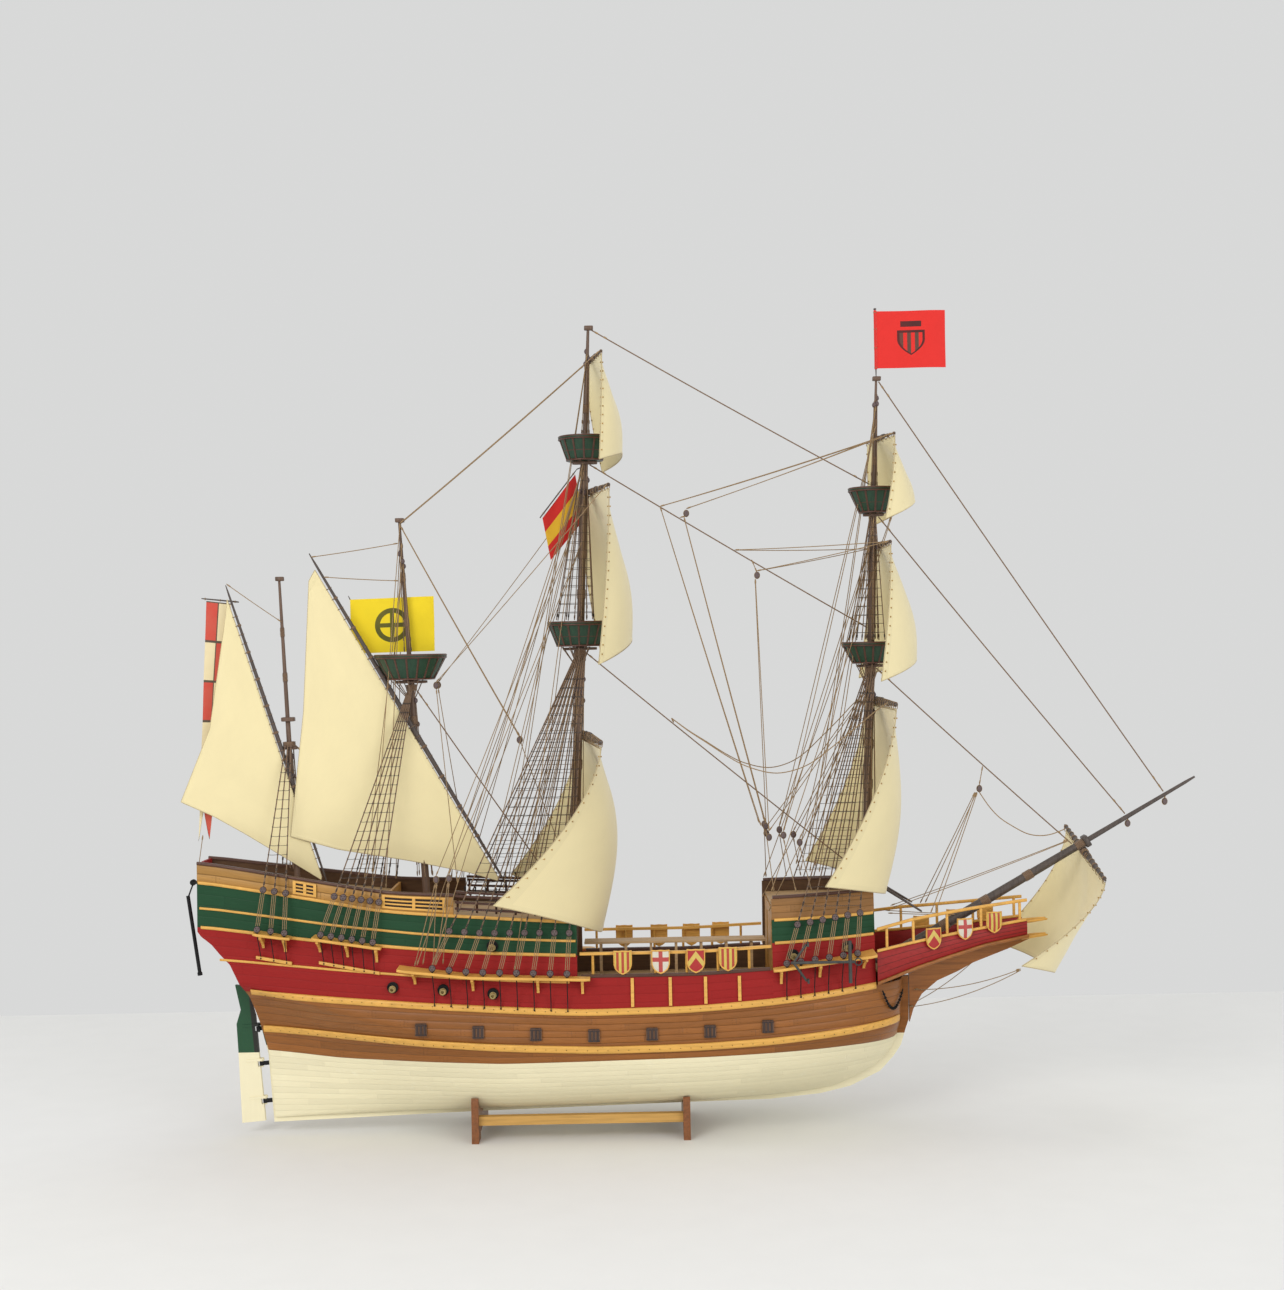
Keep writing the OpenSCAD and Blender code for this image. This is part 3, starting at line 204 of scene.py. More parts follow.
# ---- materials ----
class Nodes:
    """A short way to write a node material."""

    def __init__(self, name, rough=0.5, coat=0.0, sheen=0.0, metallic=0.0, specular=0.3):
        self.mat = bpy.data.materials.new(name)
        self.mat.use_nodes = True
        self.tree = self.mat.node_tree
        self.shader = self.tree.nodes["Principled BSDF"]
        self.shader.inputs["Roughness"].default_value = rough
        self.shader.inputs["Coat Weight"].default_value = coat
        self.shader.inputs["Coat Roughness"].default_value = 0.25
        self.shader.inputs["Sheen Weight"].default_value = sheen
        self.shader.inputs["Metallic"].default_value = metallic
        self.shader.inputs["Specular IOR Level"].default_value = specular

    def add(self, kind, inputs=(), **settings):
        """A new node with its inputs linked or set; gives its first output."""
        node = self.tree.nodes.new(kind)
        for key, value in settings.items():
            setattr(node, key, value)
        for key, value in dict(inputs).items():
            if isinstance(value, bpy.types.NodeSocket):
                self.tree.links.new(value, node.inputs[key])
            else:
                node.inputs[key].default_value = value
        return node.outputs[0]

    def source(self, which):
        return self.add("ShaderNodeTexCoord").node.outputs[which]

    def coords(self, scale=(1, 1, 1)):
        return self.add("ShaderNodeMapping", {"Vector": self.source("Object"), "Scale": scale})

    def math(self, how, a, b=0.0, clamp=False):
        return self.add("ShaderNodeMath", {0: a, 1: b}, operation=how, use_clamp=clamp)

    def times(self, a, b, clamp=False):
        return self.math("MULTIPLY", a, b, clamp)

    def plus(self, a, b):
        return self.math("ADD", a, b)

    def minus(self, a, b, clamp=False):
        return self.math("SUBTRACT", a, b, clamp)

    def size(self, a):
        return self.math("ABSOLUTE", a)

    def gap(self, a, b):
        """How far a is from b."""
        return self.size(self.minus(a, b))

    def below(self, a, b):
        return self.math("LESS_THAN", a, b)

    def above(self, a, b):
        return self.math("GREATER_THAN", a, b)

    def fract(self, a):
        return self.math("FRACT", a)

    def most(self, a, b):
        return self.math("MAXIMUM", a, b)

    def noise(self, vector, scale, detail=4.0, rough=0.55):
        return self.add("ShaderNodeTexNoise", {"Vector": vector, "Scale": scale, "Detail": detail,
                                               "Roughness": rough})

    def ramp(self, value, stops):
        node = self.add("ShaderNodeValToRGB", {0: value}).node
        ramp = node.color_ramp
        while len(ramp.elements) < len(stops):
            ramp.elements.new(0.5)
        for element, (place, colour) in zip(ramp.elements, stops):
            element.position = place
            element.color = (*colour, 1)
        return node.outputs[0]

    def mix(self, factor, a, b):
        node = self.add("ShaderNodeMix", data_type="RGBA").node
        for key, value in ((0, factor), (6, a), (7, b)):
            if isinstance(value, bpy.types.NodeSocket):
                self.tree.links.new(value, node.inputs[key])
            else:
                node.inputs[key].default_value = value if key == 0 else (*value, 1)
        return node.outputs[2]

    def split(self, vector):
        node = self.add("ShaderNodeSeparateXYZ", {0: vector}).node
        return node.outputs[0], node.outputs[1], node.outputs[2]

    def finish(self, colour, rough=None, height=None, distance=0.0002, strength=0.6):
        self.tree.links.new(colour, self.shader.inputs["Base Color"])
        if rough is not None:
            self.tree.links.new(rough, self.shader.inputs["Roughness"])
        if height is not None:
            bump = self.add("ShaderNodeBump", {"Height": height, "Strength": strength, "Distance": distance})
            self.tree.links.new(bump, self.shader.inputs["Normal"])
        return self.mat


GRAIN = {"X": (3, 60, 60), "Y": (60, 3, 60), "Z": (60, 60, 3)}


def tone(colour, k):
    return tuple(min(1.0, c * k) for c in colour)


def rubbed(n, base, scale, detail, start, share, lighter):
    """Paint rubbed lighter in spots."""
    spots = n.times(n.minus(n.noise(n.coords(), scale, detail, 0.75), start, clamp=True), 5.0, clamp=True)
    return n.mix(n.times(spots, share), base, lighter)


def wood(name, colour, grain="X", rough=0.5, coat=0.0, contrast=0.35, paint=False):
    """Wood, bare or painted, with its grain along one axis and soft patches of wear."""
    n = Nodes(name, rough, coat)
    place = n.coords(GRAIN[grain])
    streak = n.noise(place, 9, 8, 0.6)
    fine = n.noise(place, 42, 6, 0.7)
    patch = n.noise(n.coords(), 38, 5, 0.6)
    grained = n.ramp(streak, [(0.28, tone(colour, 1 - contrast)), (0.5, colour),
                              (0.74, tone(colour, 1 + contrast * 0.7))])
    mixed = n.mix(n.times(patch, 0.35 if paint else 0.25), grained, tone(colour, 0.62))
    if paint:
        mixed = rubbed(n, mixed, 95, 8, 0.57, 0.4, tone(colour, 1.55))
    height = n.plus(n.times(streak, 0.6), n.times(fine, 0.4))
    roughness = n.plus(n.times(patch, 0.25), rough - 0.12)
    return n.finish(mixed, roughness, height, 0.00025 if not paint else 0.00015, 0.5)


def planked(name, colour, length=0.085, contrast=0.3, rough=0.5, coat=0.0, seam=0.35, paint=False,
            nails=True):
    """Planks laid out in UV: U runs along them in metres, V counts them.

    Each plank has its own tone and butt joints."""
    n = Nodes(name, rough, coat, specular=0.12 if paint else 0.25)
    u, v, _ = n.split(n.source("UV"))
    row = n.math("FLOOR", v)
    across = n.minus(v, row)
    offset = n.add("ShaderNodeTexWhiteNoise", {"W": row}, noise_dimensions="1D")
    along = n.plus(n.math("DIVIDE", u, length), offset)
    number = n.math("FLOOR", along)
    inside = n.minus(along, number)
    key = n.add("ShaderNodeCombineXYZ", {0: number, 1: row, 2: 0.0})
    tint = n.add("ShaderNodeTexWhiteNoise", {"Vector": key}, noise_dimensions="2D")
    spot = n.add("ShaderNodeCombineXYZ", {0: n.times(u, 14.0), 1: n.times(v, 5.0), 2: n.times(tint, 9.0)})
    grain = n.noise(spot, 5.0, 8, 0.62)
    patch = n.noise(n.coords(), 30, 5, 0.6)
    base = n.ramp(grain, [(0.3, tone(colour, 1 - contrast)), (0.52, colour),
                          (0.75, tone(colour, 1 + contrast * 0.8))])
    base = n.mix(n.times(tint, 0.22 if paint else 0.5), base, tone(colour, 0.6 if paint else 0.48))
    edge = n.minus(0.5, n.gap(across, 0.5))
    edge_line = n.minus(1.0, n.times(edge, 14.0), clamp=True)
    butt = n.minus(0.5, n.gap(inside, 0.5))
    butt_line = n.minus(1.0, n.times(butt, 190.0 * length / 0.085), clamp=True)
    lines = n.most(edge_line, n.times(butt_line, 0.8))
    dirt = n.times(lines, seam)
    coloured = n.mix(dirt, base, tone(colour, 0.16))
    if nails:
        near = n.gap(butt, 0.035)
        mid = n.gap(n.gap(across, 0.5), 0.22)
        round_ = n.plus(n.times(near, 90.0), n.times(mid, 7.0))
        nail = n.minus(1.0, round_, clamp=True)
        coloured = n.mix(n.times(nail, 0.55), coloured, tone(colour, 0.3))
    if paint:
        coloured = rubbed(n, coloured, 80, 9, 0.58, 0.3, tone(colour, 1.6))
    coloured = n.mix(n.times(patch, 0.2), coloured, tone(colour, 0.7))
    height = n.minus(n.times(grain, 0.5), n.times(lines, 0.9))
    roughness = n.plus(n.times(patch, 0.3), rough - 0.15)
    return n.finish(coloured, roughness, height, 0.0003, 0.55)


def rope(name, colour, pitch=0.0034):
    """Three-strand laid cord, the grooves between its strands painted darker as shade; V runs along it in
    metres.
    """
    n = Nodes(name, 0.85, sheen=0.25, specular=0.25)
    u, v, _ = n.split(n.source("UV"))
    turn = n.fract(n.plus(n.times(u, 3.0), n.math("DIVIDE", v, pitch)))
    strand = n.math("SINE", n.times(turn, math.pi))
    tint = n.noise(n.coords(), 240, 4, 0.6)
    # painted shade: the grooves between the strands are painted darker than the crowns
    strands_groove_shade = n.mix(strand, tone(colour, 0.55), tone(colour, 1.1))
    dust_and_groove_shade = n.mix(n.times(tint, 0.5), strands_groove_shade, tone(colour, 0.6))
    return n.finish(dust_and_groove_shade, None, strand, 0.0003, 0.7)


def metal(name, colour, rough=0.45, metallic=0.85):
    n = Nodes(name, rough, metallic=metallic)
    patch = n.noise(n.coords(), 120, 7, 0.65)
    fine = n.noise(n.coords(), 700, 4, 0.6)
    return n.finish(n.ramp(patch, [(0.3, tone(colour, 0.55)), (0.6, colour), (0.85, tone(colour, 1.5))]),
                    n.plus(n.times(patch, 0.35), rough - 0.15), fine, 0.00008, 0.5)


# ---- colours, as the photograph shows them ----
BOTTOM = (0.85, 0.78, 0.54)
MAHOGANY = (0.30, 0.108, 0.022)
RED = (0.31, 0.017, 0.016)
GREEN = (0.018, 0.066, 0.03)
OAK = (0.48, 0.25, 0.065)
OCHRE = (0.72, 0.39, 0.085)
DECK = (0.44, 0.29, 0.15)
DARK = (0.085, 0.035, 0.022)
SPAR = (0.08, 0.062, 0.054)

bottom_mat = planked("bottom_planks", BOTTOM, contrast=0.05, rough=0.55, seam=0.05, paint=True, nails=False)
wale_mat = planked("mahogany_planks", MAHOGANY, contrast=0.4, rough=0.4, coat=0.15, seam=0.4)
red_mat = planked("red_planks", RED, contrast=0.12, rough=0.5, seam=0.12, paint=True, nails=False)
green_mat = planked("green_planks", GREEN, contrast=0.15, rough=0.5, seam=0.12, paint=True, nails=False)
oak_mat = planked("oak_planks", OAK, contrast=0.3, rough=0.48, coat=0.05, seam=0.7)
inside_mat = wood("inside_wood", (0.10, 0.052, 0.026), "X", 0.6, 0.0, 0.4)
brown_mat = planked("castle_planks", (0.30, 0.145, 0.045), contrast=0.35, rough=0.45, seam=0.5)
deck_mat = planked("deck_planks", DECK, length=0.06, contrast=0.3, rough=0.6, seam=0.85)
ochre_mat = wood("ochre_wood", OCHRE, "X", 0.45, 0.08, 0.25, paint=True)
dark_mat = wood("dark_wood", DARK, "X", 0.4, 0.15, 0.35)
spar_mat = wood("spar_wood", SPAR, "Z", 0.45, 0.08, 0.4)
yard_mat = wood("yard_wood", SPAR, "Y", 0.45, 0.08, 0.4)
cradle_mat = wood("cradle_wood", (0.22, 0.08, 0.028), "Y", 0.42, 0.15, 0.4)
rail_mat = wood("rail_wood", (0.56, 0.32, 0.09), "X", 0.6, 0.0, 0.25)
knee_mat = wood("knee_wood", MAHOGANY, "X", 0.42, 0.12, 0.4)
block_mat = wood("block_wood", (0.12, 0.085, 0.085), "Z", 0.5, 0.0, 0.3)
iron_mat = metal("black_iron", (0.02, 0.02, 0.021), 0.55, 0.6)
gun_mat = metal("gun_bronze", (0.40, 0.30, 0.13), 0.4, 0.85)
lid_mat = wood("port_lid_wood", (0.15, 0.075, 0.04), "Z", 0.5, 0.0, 0.4)
bar_mat = wood("port_bar_wood", (0.05, 0.032, 0.028), "Z", 0.5, 0.0, 0.4)
red_wood = wood("red_paint_wood", RED, "X", 0.5, 0.0, 0.2, paint=True)
slot_mat = wood("slot_shadow", (0.03, 0.018, 0.012), "X", 0.7, 0.0, 0.3)
pin_mat = metal("brass_pin", (0.55, 0.34, 0.12), 0.35, 0.95)
tan_rope = rope("tan_rope", (0.36, 0.23, 0.11), 0.0022)
brown_rope = rope("brown_rope", (0.23, 0.14, 0.082))
cream_rope = rope("cream_rope", (0.62, 0.50, 0.28), 0.0022)
dark_rope = rope("dark_rope", (0.075, 0.05, 0.035), 0.0016)


# ---- the lines of the hull, in millimetres ----
def lookup(x, line):
    if x <= line[0][0]:
        return line[0][1]
    for (a, p), (b, q) in zip(line, line[1:]):
        if x <= b:
            return p + (q - p) * (x - a) / (b - a)
    return line[-1][1]


def soft(x, line):
    return (lookup(x - 14, line) + 2 * lookup(x, line) + lookup(x + 14, line)) / 4


KEEL = [(-246, 10), (-82, 15.6), (86, 19.6), (150, 20.8), (190, 24.5), (214, 30), (238, 41.5), (249, 53.3),
        (255, 62), (259, 75)]
WATER = [(-262, 69), (-190, 64), (-84, 66), (85, 69), (212, 72), (262, 71)]
LOW_WALE = [(-255, 86), (-190, 84), (-83, 80), (19, 76.5), (85, 77.4), (146, 80), (258, 88)]
HIGH_WALE = [(-262, 118.5), (-192, 114.6), (-83, 109), (5, 105), (86, 106), (148, 110), (232, 118)]
RED_LINE = [(-300, 170), (-254, 165), (-207, 160), (-150, 156), (-82, 151), (0, 148)]
GREEN_LINE = [(-300, 205), (-196, 190), (-155, 183), (-97, 179), (0, 173)]
TOP_LINE = [(-300, 219), (-196, 203), (-148, 195.5), (-95, 193.4), (0, 188)]
WAIST = [(0, 131), (94, 131), (150, 134)]
CASTLE_RED = [(150, 154), (232, 157.5)]
CASTLE_GREEN = [(150, 171.5), (232, 173.5)]
CASTLE_TOP = [(150, 187.5), (232, 190.5)]
STERN = [(10, -244.5), (65, -248.6), (85, -253.5), (114, -261), (126, -267), (140, -274), (148, -282),
         (156, -289), (162, -297), (166, -300), (219, -300)]
BOW = [(20, 188), (26, 200), (34, 214), (45, 233), (57, 245), (69, 251), (83, 255), (118, 257.5)]
BEAM = [(-300, 0.35), (-262, 0.43), (-190, 0.68), (-120, 0.87), (-50, 0.975), (0, 1)]
PLANK = 2.0
KEEL_HALF = 2.5
HALF_BEAM = 69


def clamp(v, low, high):
    return min(high, max(low, v))


def stern_x(z):
    return lookup(z, STERN)


def bow_x(z):
    return lookup(z, BOW)


def keel_z(x):
    return soft(x, KEEL) + 4


def half(x, z):
    """Half breadth of the hull outside the planking."""
    side = KEEL_HALF + PLANK
    widest = 85 + 40 * clamp((-60 - x) / 200, 0, 1) ** 1.5
    run, entry = clamp((-60 - x) / 190, 0, 1), clamp((x - 100) / 150, 0, 1)
    rise = clamp((z - keel_z(x)) / (widest - keel_z(x)), 0, 1)
    section = ((1 - run) * (1 - (1 - rise) ** (2.2 - 0.5 * entry)) ** (0.5 + 0.35 * entry)
               + run * rise ** (2 + 3 * run ** 3))
    full, far = clamp((z - 60) / 50, 0, 1), bow_x(z)
    bow = 1 if x <= 60 else max(0, 1 - min(1, (x - 60) / (far - 60)) ** (2.4 + 1.4 * full)) ** 0.5
    return side + (HALF_BEAM * soft(x, BEAM) - side) * (1 - 0.0018 * max(0, z - widest)) * section * bow


def hull_point(x, z, proud=0.0):
    """A point on the port side of the hull, moved out along the side's slope."""
    s = clamp(half(x, z + 1) - half(x, z), -1, 12)
    n = math.sqrt(1 + s * s)
    return x, max(KEEL_HALF + 0.1, half(x, z) + proud / n), z - proud * s / n


GROOVE = [(0.0, -1.0), (0.07, -0.06), (0.5, 0.1), (0.93, -0.06)]


# The outermost X of the planking, and the lowest edge of the bottom planking at stern and bow.
AFT_X, FORE_X = -262, 257
BOTTOM_AFT_Z, BOTTOM_FORE_Z = 14, 27


def band(b, low, high, aft, fore, planks, row_number, bottom=False, groove=0.1):
    """A belt of planking between two seams, a groove at each plank's edge; None is the hull's own end."""
    heights = [(k + f, g * groove) for k in range(planks) for f, g in GROOVE] + [(planks, -groove)]
    a0 = stern_x(soft(AFT_X, low)) if aft is None else aft
    a1 = stern_x(soft(AFT_X, high)) if aft is None else aft
    f0 = bow_x(soft(258, low)) if fore is None else fore
    f1 = bow_x(soft(258, high)) if fore is None else fore
    cols = max(8, int(((FORE_X if fore is None else fore) - (AFT_X if aft is None else aft)) / 4))

    def spot(i, j):
        t, s = i / cols, heights[j][0] / planks
        if bottom:
            za = BOTTOM_AFT_Z + (soft(-250, WATER) - BOTTOM_AFT_Z) * s
            zf = BOTTOM_FORE_Z + (soft(250, WATER) - BOTTOM_FORE_Z) * s
            x = stern_x(za) + (bow_x(zf) - stern_x(za)) * t
            x0 = stern_x(BOTTOM_AFT_Z) + (bow_x(BOTTOM_FORE_Z) - stern_x(BOTTOM_AFT_Z)) * t
            return x, keel_z(x0) + (soft(-249 + 500 * t, WATER) - keel_z(x0)) * s
        za, zf = (soft(a0, low) + (soft(a1, high) - soft(a0, low)) * s,
                  soft(f0, low) + (soft(f1, high) - soft(f0, low)) * s)
        xa, xf = stern_x(za) if aft is None else aft, bow_x(zf) if fore is None else fore
        zl, zh = soft(a0 + (f0 - a0) * t, low), soft(a1 + (f1 - a1) * t, high)
        return xa + (xf - xa) * t, zl + (zh - zl) * s

    spots = [[spot(i, j) for i in range(cols + 1)] for j in range(len(heights))]
    uvs = [[(x * 0.001, row_number + heights[j][0]) for x, z in spots[j]] for j in range(len(heights))]
    for side in (1, -1):
        front = [[at(x, side * y, z) for x, y, z in (hull_point(p, q, heights[j][1]) for p, q in spots[j])]
                 for j in range(len(heights))]
        back = [[at(x, side * y, z) for x, y, z in (hull_point(p, q, -PLANK) for p, q in spots[j])]
                for j in range(len(heights))]
        if side > 0:
            front, back = [r[::-1] for r in front], [r[::-1] for r in back]
            use = [r[::-1] for r in uvs]
        else:
            use = [[(u, v + 40) for u, v in r] for r in uvs]
        b.shell(front, back, use, inner=1)


def belt(name, mat, node, *place, **settings):
    """One band of planking as a piece of its own."""
    b = Build()
    band(b, *place, **settings)
    b.make(name, [mat, inside_mat], nodes=[node], smooth=50)


belt("bottom_planking", bottom_mat, "hull_bottom", WATER, WATER, None, None, 11, 0, bottom=True, groove=0.05)
belt("wale_belt", wale_mat, "wale_planking", WATER, HIGH_WALE, None, None, 8, 12, groove=0.18)
red_belt = Build()
for high, aft, fore, planks, number in ((RED_LINE, None, 0, 7, 21), (WAIST, 0, 150, 4, 29),
                                        (CASTLE_RED, 150, 231, 6, 34)):
    band(red_belt, HIGH_WALE, high, aft, fore, planks, number, groove=0.04)
red_belt.make("red_belt", [red_mat, inside_mat], nodes=["red_planking"], smooth=50)
belt("green_belt", green_mat, "green_planking", RED_LINE, GREEN_LINE, None, 0, 4, 2, groove=0.04)
belt("top_belt", oak_mat, "top_planking", GREEN_LINE, TOP_LINE, None, -95, 2, 7, groove=0.3)
castle = Build()
band(castle, CASTLE_RED, CASTLE_GREEN, 150, 231, 3, 10)
castle_faces = len(castle.f)
band(castle, CASTLE_GREEN, CASTLE_TOP, 150, 231, 3, 15)
castle.m = [2 if i < castle_faces and m == 0 else m for i, m in enumerate(castle.m)]
castle.make("forecastle_belt", [brown_mat, inside_mat, green_mat], nodes=["forecastle_planking"], smooth=50)


def strip(b, line, tall, proud, aft, fore, m=0):
    """A rounded strip fastened along the hull on both sides."""
    steps = max(4, int((fore - aft) / 4))
    for side in (1, -1):
        rings, uvs = [], []
        for i in range(steps + 1):
            x = aft + (fore - aft) * i / steps
            z = soft(x, line)
            low, high = hull_point(x, z - tall / 2, 0.05), hull_point(x, z + tall / 2, 0.05)
            ring = []
            for v, out in ((0, 0), (0, 0.6), (0.12, 0.93), (0.35, 1), (0.65, 1), (0.88, 0.93), (1, 0.6),
                           (1, 0)):
                y = low[1] + (high[1] - low[1]) * v + out * proud
                ring.append(at(x, side * y, low[2] + (high[2] - low[2]) * v))
            rings.append(ring)
            uvs.append(girth(8, x * 0.001))
        b.prism(rings, uvs, m, flip=side > 0)


def lid(b, line, wide, tall, aft, fore, m=0):
    """A rounded cap along the top edge of the planking, on both sides."""
    steps = max(4, int((fore - aft) / 4))
    for side in (1, -1):
        rings, uvs = [], []
        for i in range(steps + 1):
            x = aft + (fore - aft) * i / steps
            z = soft(x, line) + 0.1
            y = half(x, z) + 0.8
            rings.append([at(x, side * (y - wide * u), z + tall * v) for u, v in
                          ((1, 0), (1, 0.6), (0.88, 1), (0.12, 1), (0, 0.7), (0, 0.3), (0.06, 0), (0.5, 0))])
            uvs.append(girth(8, x * 0.001))
        b.prism(rings, uvs, m, flip=side < 0)


RED_MOULD = [(x, (soft(x, HIGH_WALE) + soft(x, RED_LINE)) / 2 + 1) for x in range(-290, 1, 58)]
GREEN_MOULD = [(x, (soft(x, RED_LINE) + soft(x, GREEN_LINE)) / 2 - 2)
               for x in [-298 + 59.6 * i for i in range(6)]]
wales = Build()
strip(wales, LOW_WALE, 5.5, 2.1, -252, 252)
strip(wales, HIGH_WALE, 5, 2.3, -258, 231)
wales.make("wale_strips", [ochre_mat], nodes=["wales"])
mouldings = Build()
for line, tall, proud, aft, fore in ((RED_LINE, 2.4, 1.2, -297, -1), (GREEN_LINE, 2.4, 1.2, -299, -1),
                                     (RED_MOULD, 1.8, 1, -282, -6), (GREEN_MOULD, 1.8, 1, -298, -1),
                                     (CASTLE_RED, 2.2, 1.2, 152, 230), (CASTLE_GREEN, 2.2, 1.2, 152, 230)):
    strip(mouldings, line, tall, proud, aft, fore)
for line, aft, fore in ((TOP_LINE, -300, -95), (WAIST, 3, 148), (CASTLE_TOP, 151, 231)):
    lid(mouldings, line, 4, 2.1, aft, fore, 1)
mouldings.make("moulding_strips", [ochre_mat, dark_mat], nodes=["mouldings"])


# ---- sails ----
THREADS = 5200.0


def cloth_mat(name, colour):
    """Plain-woven cloth with its threads, slubs and creases. UV is in metres."""
    n = Nodes(name, 0.85, sheen=0.35, specular=0.2)
    uv = n.source("UV")
    u, v, _ = n.split(uv)
    warp = n.math("SINE", n.times(u, THREADS))
    weft = n.math("SINE", n.times(v, THREADS))
    weave = n.plus(n.times(n.times(warp, weft), 0.5), 0.5)
    cloud = n.noise(uv, 16, 6, 0.6)
    slub = n.noise(n.add("ShaderNodeMapping", {"Vector": uv, "Scale": (220, 26, 1)}), 4, 5, 0.6)
    crease = n.noise(n.add("ShaderNodeMapping", {"Vector": uv, "Scale": (1.0, 0.35, 1)}), 48, 5, 0.5)
    base = n.ramp(cloud, [(0.3, tone(colour, 0.95)), (0.55, colour), (0.8, tone(colour, 1.04))])
    base = n.mix(n.times(weave, 0.22), base, tone(colour, 0.7))
    base = n.mix(n.times(slub, 0.22), base, tone(colour, 0.8))
    height = n.plus(n.times(weave, 0.22), n.times(crease, 0.9))
    return n.finish(base, None, height, 0.00035, 0.5)


SAIL = (0.83, 0.72, 0.42)
sail_mat = cloth_mat("sailcloth", SAIL)
hem_mat = cloth_mat("sail_hem", tone(SAIL, 0.96))

MAIN, FORE = (-5.2, 158, 0.0442), (229.8, 186, 0.0389)
MIZZEN, BONA = (-122.6, 208, -0.0547), (-225, 210, -0.0421)


def mast_x(m, z):
    return m[0] + (z - m[1]) * m[2]


def yard_r(r, far):
    """Radius of a square yard at a share of its half length from the middle."""
    return r * (1 - 0.55 * far ** 1.2)


def yard_x(m, z, mast_r, radius):
    return mast_x(m, z) + mast_r + radius + 2


def sprit_z(x):
    return 124.5 + (x - 235) * 0.566


# Each yard: middle X, height, half length, radius, yaw, roll.
YARDS = {"main_course": (yard_x(MAIN, 312, 3.7, 3), 312.6, 100, 3, 7, 0),
         "main_topsail": (yard_x(MAIN, 508, 3.2, 1.9), 508.8, 64, 1.9, 13, 0),
         "main_topgallant": (yard_x(MAIN, 615, 1.3, 1.3), 615, 40, 1.3, 11, 0),
         "fore_course": (yard_x(FORE, 336, 3.2, 2.7), 336.5, 88, 2.7, 1, 0),
         "fore_topsail": (yard_x(FORE, 461, 2.2, 1.7), 461.2, 56, 1.7, 1, 0),
         "fore_topgallant": (yard_x(FORE, 547, 1.2, 1.2), 547, 36, 1.2, 11, 0),
         "spritsail": (405, sprit_z(405) - 7.6, 67, 2.4, 0, 12.7)}
# Each foot: clew X, clew Z, half width, middle X, drop of the middle, belly.
FEET = {"main_course": (-61, 192, 95, 18, 34, 16), "main_topsail": (21, 371, 80, 46, -18, 10),
        "main_topgallant": (24, 529, 55, 41, -9, 7), "fore_course": (189, 200, 85, 243, 15, 13),
        "fore_topsail": (235.7, 354, 72, 271, -17, 9), "fore_topgallant": (244, 479, 50, 273, -17, 6),
        "spritsail": (341, 133, 60, 376, 14, 8)}


def yard_end(y, side):
    yaw, roll = math.radians(y[4]), math.radians(y[5])
    return (y[0] - side * y[2] * math.sin(yaw), side * y[2] * math.cos(yaw),
            y[1] + side * y[2] * math.sin(roll))


def sail_point(y, foot, u, v, back):
    end = yard_end(y, 1)
    top = [end[0] - y[0], end[1], end[2] - y[1]]
    head = [y[0] + 0.95 * u * top[0], 0.95 * u * top[1], y[1] - y[3] - 0.8 + 0.95 * u * top[2]]
    edge = head[0] + (foot[0] - head[0]) * v ** 1.6
    middle = head[0] + (foot[3] - head[0]) * v + foot[5] * math.sin(math.pi * v)
    ripple = 0.7 * math.sin(7 * u + 3 * v) * math.sin(math.pi * v) * (1 - abs(u) ** 4)
    return (edge + (middle - edge) * (1 - abs(u) ** 3) + back + ripple,
            head[1] + (u * foot[2] - head[1]) * v,
            head[2] + (foot[1] - head[2]) * v - foot[4] * (1 - u * u) * v * v)


CLOTH = 0.6


def length_of(points):
    return sum((q - p).length for p, q in zip(points, points[1:]))


def faces_of(spot, across, down, lift):
    """A grid of points over a cloth, lifted off its middle."""
    return [[at(*spot(i / across, j / down, lift)) for i in range(across + 1)] for j in range(down + 1)]


def cloth_piece(name, node, spot, across, down, width, height, mats):
    """A sail: a fine sheet, folded hems and a bolt rope round it.

    spot(u, v, back) gives millimetres, u and v from 0 to 1."""
    b = Build()
    front, back = faces_of(spot, across, down, CLOTH), faces_of(spot, across, down, 0.0)
    uvs = [[(i / across * width, j / down * height) for i in range(across + 1)] for j in range(down + 1)]
    b.shell(front, back, uvs)
    sheet_obj = b.make(name, mats[:1], nodes=[node], slot="sailcloth", smooth=40)
    trim = Build()
    n = 64
    sides = [((0, 0), (1, 0)), ((1, 0), (1, 1)), ((1, 1), (0, 1)), ((0, 1), (0, 0))]
    edge = [spot(a[0] + (c[0] - a[0]) * i / n, a[1] + (c[1] - a[1]) * i / n, CLOTH / 2) for a, c in sides
            for i in range(n)]
    trim.tube([at(*p) for p in edge], 0.00042, 8, 0, close=True)
    # The hem: a second layer of cloth folded along every edge, on both faces.
    wide = 0.024
    for out in (CLOTH + 0.22, -0.22):
        for a, c in sides:
            inward = (-(c[1] - a[1]) * wide, (c[0] - a[0]) * wide)
            rows = []
            for k in range(4):
                f = k / 3
                rows.append([at(*spot(clamp(a[0] + (c[0] - a[0]) * i / n + inward[0] * f, 0, 1),
                                      clamp(a[1] + (c[1] - a[1]) * i / n + inward[1] * f, 0, 1),
                                      out if 0 < k < 3 else (CLOTH if out > 0 else 0.0)))
                             for i in range(n + 1)])
            strip_uv = [[(k * 0.0013, i / n * height) for i in range(n + 1)] for k in range(4)]
            trim.grid(rows, strip_uv, 1, flip=out < 0)
    trim.make(name + "_hem", [cream_rope, mats[1]], slot="sailcloth")


